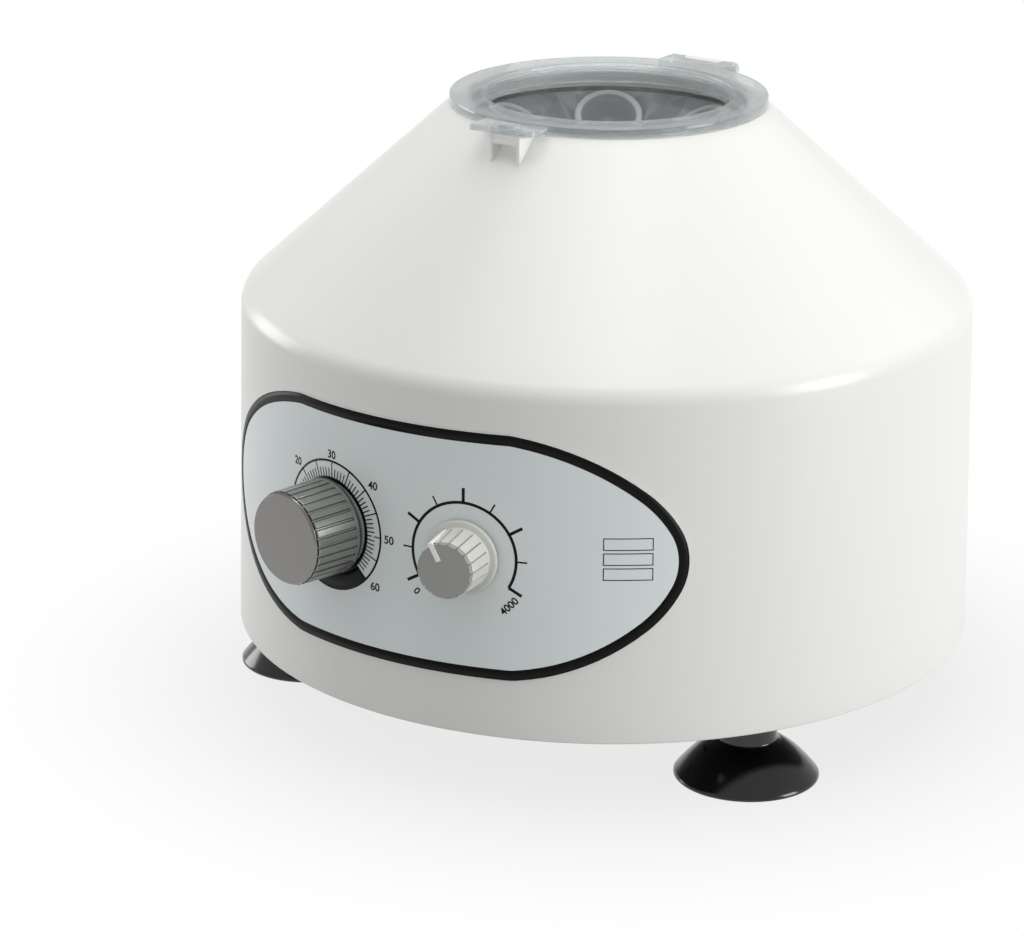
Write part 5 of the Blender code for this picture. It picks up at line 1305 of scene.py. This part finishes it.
class CENTRIFUGE_OT_rotor(bpy.types.Operator):
    """Rotor head with its seats, and the nut that holds it"""
    bl_idname = "centrifuge.rotor"
    bl_label = "Rotor"

    def execute(self, context):
        tint = context.scene.centrifuge_finishes.rotor
        material = moulded_plastic("cast_rotor", tint, 0.4, 0.9 * MM, drift=0.12, metallic=0.3)
        head = soft_copy("rotor_bowl", "rotor_head", 0.0, sharp=28.0)
        finish_piece(head, "rotor", [material], ["rotor_head"])
        nut = soft_copy("dome_nut", "rotor_nut", 0.25 * MM)
        steel = machined_steel("zinc_plated_steel", "C4C6C9", 0.28)
        finish_piece(nut, "rotor", [steel], ["rotor_nut"])
        return {"FINISHED"}


# Back and underside

class CENTRIFUGE_OT_gland(bpy.types.Operator):
    """Gland of the mains lead: hexagon body and fluted dome cap"""
    bl_idname = "centrifuge.gland"
    bl_label = "Gland"

    def execute(self, context):
        black = moulded_plastic("moulded_polyamide", linear("17181A"), 0.38, 0.5 * MM,
                                drift=0.2, ior=1.53)
        body = soft_copy("gland_hexagon", "gland_body", 0.35 * MM)
        finish_piece(body, "chassis", [black], ["gland_body"])
        nut = soft_copy("gland_lock_ring", "gland_locknut", 0.3 * MM)
        finish_piece(nut, "chassis", [black], ["gland_locknut"])

        low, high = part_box("gland_body")
        at = local_frame(Vector((0, 0, (low.z + high.z) / 2)), Vector((0, 1, 0)))
        start, end = span("gland_cap", at)
        radius, bore, seat, count = 9.6 * MM, 3.6 * MM, 6.3 * MM, 16
        shares = np.array([0.0, 0.12, 0.25, 0.38, 0.5, 0.62, 0.75, 0.88])
        groove = 0.5 - 0.5 * np.cos(shares * math.tau)
        turn = np.radians(spaced(0, 90, 8))
        crown = 3.2 * MM
        dome = np.column_stack([radius - crown + crown * np.cos(turn),
                                end - crown + crown * np.sin(turn), 1 - np.sin(turn) ** 2])
        outline = np.concatenate([
            [(seat, start, 0), (radius - 0.3 * MM, start, 0), (radius, start + 0.3 * MM, 0),
             (radius, start + MM, 0), (radius, start + 1.25 * MM, 1)],
            dome, [(bore, end, 0), (bore, end - 3 * MM, 0), (seat, end - 3 * MM, 0)]])
        cap = fluted("gland_dome", outline, count, shares, groove, 0.45 * MM, at, sharp=30.0)
        finish_piece(cap, "chassis", [black], ["gland_cap"])
        return {"FINISHED"}


class CENTRIFUGE_OT_hardware(bpy.types.Operator):
    """Finishes for the frame's own pieces: plate, tray, motor, controls and fasteners"""
    bl_idname = "centrifuge.hardware"
    bl_label = "Plate, motor and fasteners"

    def execute(self, context):
        steel = bpy.data.materials["zinc_plated_steel"]
        black = bpy.data.materials["moulded_polyamide"]
        nylon = bpy.data.materials["moulded_nylon"]
        pressed = machined_steel("pressed_steel", "8D9194", 0.4)
        tray = moulded_plastic("tray_abs", linear("58595C"), 0.5, 1.0 * MM, ior=1.5)
        damper = moulded_plastic("damper_rubber", linear("222223"), 0.7, 0.8 * MM)
        dressed = {
            powder_coat(): ["base_plate"],
            tray: ["chamber_floor"],
            steel: [*numbered("base_screw", 4), *numbered("floor_screw", 4),
                    *numbered("foot_bolt", 3), "hinge_pin", "motor_shaft", "shaft_bearing_upper",
                    "shaft_bearing_lower", "timer_shaft", "timer_nut", "speed_shaft",
                    "speed_nut"],
            pressed: ["motor_can", "motor_top_bell", "motor_bottom_bell", "speed_potentiometer"],
            damper: numbered("motor_damper", 3),
            nylon: numbered("board_post", 4),
            black: ["timer_mechanism", *numbered("brush_holder", 2)],
            laminations(): ["motor_armature"],
            solder_mask(): ["circuit_board"],
        }
        for material, names in dressed.items():
            for name in names:
                dress(frame["nodes"][name], material)
        return {"FINISHED"}


def numbered(name, count):
    """The names of like pieces: name_1, name_2 and so on."""
    return [f"{name}_{number}" for number in range(1, count + 1)]


def dress(node, material):
    """Puts a material on a node of the frame."""
    if not node.material_slots:
        node.data.materials.append(material)
    for slot in node.material_slots:
        slot.material = material


# Stage

def pale_floor():
    """Matt white paper: keeps the soft shadow near the feet and is plain white further out."""
    material, tree, shader, where = start_material("pale_floor", roughness=0.8)
    shader.inputs["Base Color"].default_value = (0.36, 0.36, 0.36, 1.0)
    path = add_node(tree, "ShaderNodeLightPath").outputs
    seen = add_node(tree, "ShaderNodeMath", {0: path["Is Camera Ray"], 1: path["Is Glossy Ray"]},
                    operation="MAXIMUM").outputs[0]
    seen = add_node(tree, "ShaderNodeMath", {0: seen, 1: path["Is Transmission Ray"]},
                    operation="MAXIMUM").outputs[0]
    distance = add_node(tree, "ShaderNodeVectorMath", {0: where},
                        operation="LENGTH").outputs["Value"]
    far = add_node(tree, "ShaderNodeMapRange",
                   {"Value": distance, "From Min": 0.1, "From Max": 0.24, "To Min": 0.8},
                   interpolation_type="SMOOTHSTEP").outputs["Result"]
    white = add_node(tree, "ShaderNodeEmission", {"Color": (1, 1, 1, 1), "Strength": 1.0})
    glow = add_node(tree, "ShaderNodeMath", {0: seen, 1: far}, operation="MULTIPLY").outputs[0]
    mixed = add_node(tree, "ShaderNodeMixShader",
                     {0: glow, 1: shader.outputs["BSDF"], 2: white.outputs["Emission"]})
    tree.links.new(mixed.outputs["Shader"],
                   tree.nodes["Material Output"].inputs["Surface"])
    return material


def white_world(strength):
    """Even light at a strength, which the camera itself sees as plain white."""
    world = bpy.data.worlds.new("studio")
    bpy.context.scene.world = world
    world.use_nodes = True
    tree = world.node_tree
    path = add_node(tree, "ShaderNodeLightPath").outputs
    seen = path["Is Camera Ray"]
    level = add_node(tree, "ShaderNodeMapRange",
                     {"Value": seen, "To Min": strength, "To Max": 1.0}).outputs["Result"]
    background = tree.nodes["Background"]
    background.inputs["Color"].default_value = (1.0, 1.0, 1.0, 1.0)
    tree.links.new(level, background.inputs["Strength"])


def softbox(name, place, aim, width, height, power):
    """A rectangular lamp that faces a point."""
    data = bpy.data.lights.new(name, "AREA")
    data.shape = "RECTANGLE"
    data.size = width
    data.size_y = height
    data.energy = power
    lamp = bpy.data.objects.new(name, data)
    lamp.location = place
    lamp.rotation_euler = (Vector(aim) - Vector(place)).to_track_quat("-Z", "Y").to_euler()
    bpy.context.scene.collection.objects.link(lamp)


# Each softbox: its place, width and height, in metres
SOFTBOXES = {"left": ((-1.2, -0.05, 0.22), 0.5, 0.5), "right": ((1.25, 0.2, 0.3), 0.5, 0.7),
             "top": ((-0.05, 0.0, 1.3), 0.9, 0.9)}
SOFTBOX_AIM = (0.0, 0.0, 0.11)
CAMERA_PLACE = Vector((0.6725, -1.0636, 0.5102))
CAMERA_AIM = Vector((-0.0282, -0.0179, 0.0770))
CAMERA_ROLL = 0.0046       # radians, lifts the right side


def set_camera(lens):
    """The camera at the photograph's place: it looks at its aim, with a slight roll."""
    data = bpy.data.cameras.new("camera")
    data.lens = lens
    data.sensor_fit = "HORIZONTAL"
    data.sensor_width = 36.0
    forward = (CAMERA_AIM - CAMERA_PLACE).normalized()
    level_right = forward.cross(Vector((0, 0, 1))).normalized()
    level_up = level_right.cross(forward)
    right = level_right * math.cos(CAMERA_ROLL) + level_up * math.sin(CAMERA_ROLL)
    up = right.cross(forward)
    turn = Matrix((right, up, -forward)).transposed()
    camera = bpy.data.objects.new("camera", data)
    camera.matrix_world = Matrix.Translation(CAMERA_PLACE) @ turn.to_4x4()
    bpy.context.scene.collection.objects.link(camera)
    bpy.context.scene.camera = camera


class CENTRIFUGE_OT_stage(bpy.types.Operator):
    """Pale floor, soft studio light and the camera"""
    bl_idname = "centrifuge.stage"
    bl_label = "Stage"

    def execute(self, context):
        settings = context.scene.centrifuge_stage
        context.scene.view_settings.view_transform = "Standard"
        radii = np.array([0.0, 0.3, 0.8, 2.0, 6.0])
        outline = np.column_stack([radii, np.zeros_like(radii)])
        floor = surface("floor", [(revolve(outline, 64), True, False)])
        if floor.data.polygons[0].normal.z < 0:
            floor.data.flip_normals()
        floor.data.materials.append(pale_floor())
        white_world(settings.world)
        for name, (place, width, height) in SOFTBOXES.items():
            softbox(f"{name}_softbox", place, SOFTBOX_AIM, width, height,
                    getattr(settings, name))
        set_camera(settings.lens)
        return {"FINISHED"}


# Add-on

OPERATORS = (CENTRIFUGE_OT_housing, CENTRIFUGE_OT_lid, CENTRIFUGE_OT_keeper,
             CENTRIFUGE_OT_overlay, CENTRIFUGE_OT_timer_scale, CENTRIFUGE_OT_speed_scale,
             CENTRIFUGE_OT_timer_knob, CENTRIFUGE_OT_speed_knob, CENTRIFUGE_OT_feet,
             CENTRIFUGE_OT_sleeves, CENTRIFUGE_OT_rotor, CENTRIFUGE_OT_gland,
             CENTRIFUGE_OT_hardware, CENTRIFUGE_OT_stage)
GROUPS = {"centrifuge_housing": HousingSizes, "centrifuge_lid": LidSizes,
          "centrifuge_keeper": KeeperSizes, "centrifuge_panel": PanelSizes,
          "centrifuge_knobs": KnobSizes,
          "centrifuge_finishes": Finishes, "centrifuge_stage": StageSettings}


class CENTRIFUGE_PT_pieces(bpy.types.Panel):
    """Lists the pieces of the centrifuge and their settings"""
    bl_label = "Bench centrifuge"
    bl_space_type = "VIEW_3D"
    bl_region_type = "UI"
    bl_category = "Centrifuge"

    def draw(self, context):
        for operator in OPERATORS:
            self.layout.operator(operator.bl_idname)
        for name, group in GROUPS.items():
            box = self.layout.box()
            box.label(text=name.split("_")[1].title())
            for setting in group.__annotations__:
                box.prop(getattr(context.scene, name), setting)


def register():
    for group in GROUPS.values():
        bpy.utils.register_class(group)
    for name, group in GROUPS.items():
        setattr(bpy.types.Scene, name, PointerProperty(type=group))
    for cls in (*OPERATORS, CENTRIFUGE_PT_pieces):
        bpy.utils.register_class(cls)


def unregister():
    for cls in (CENTRIFUGE_PT_pieces, *reversed(OPERATORS)):
        bpy.utils.unregister_class(cls)
    for name, group in GROUPS.items():
        delattr(bpy.types.Scene, name)
        bpy.utils.unregister_class(group)


def main():
    register()
    for operator in OPERATORS:
        group, name = operator.bl_idname.split(".")
        getattr(getattr(bpy.ops, group), name)()


if __name__ == "__main__":
    main()
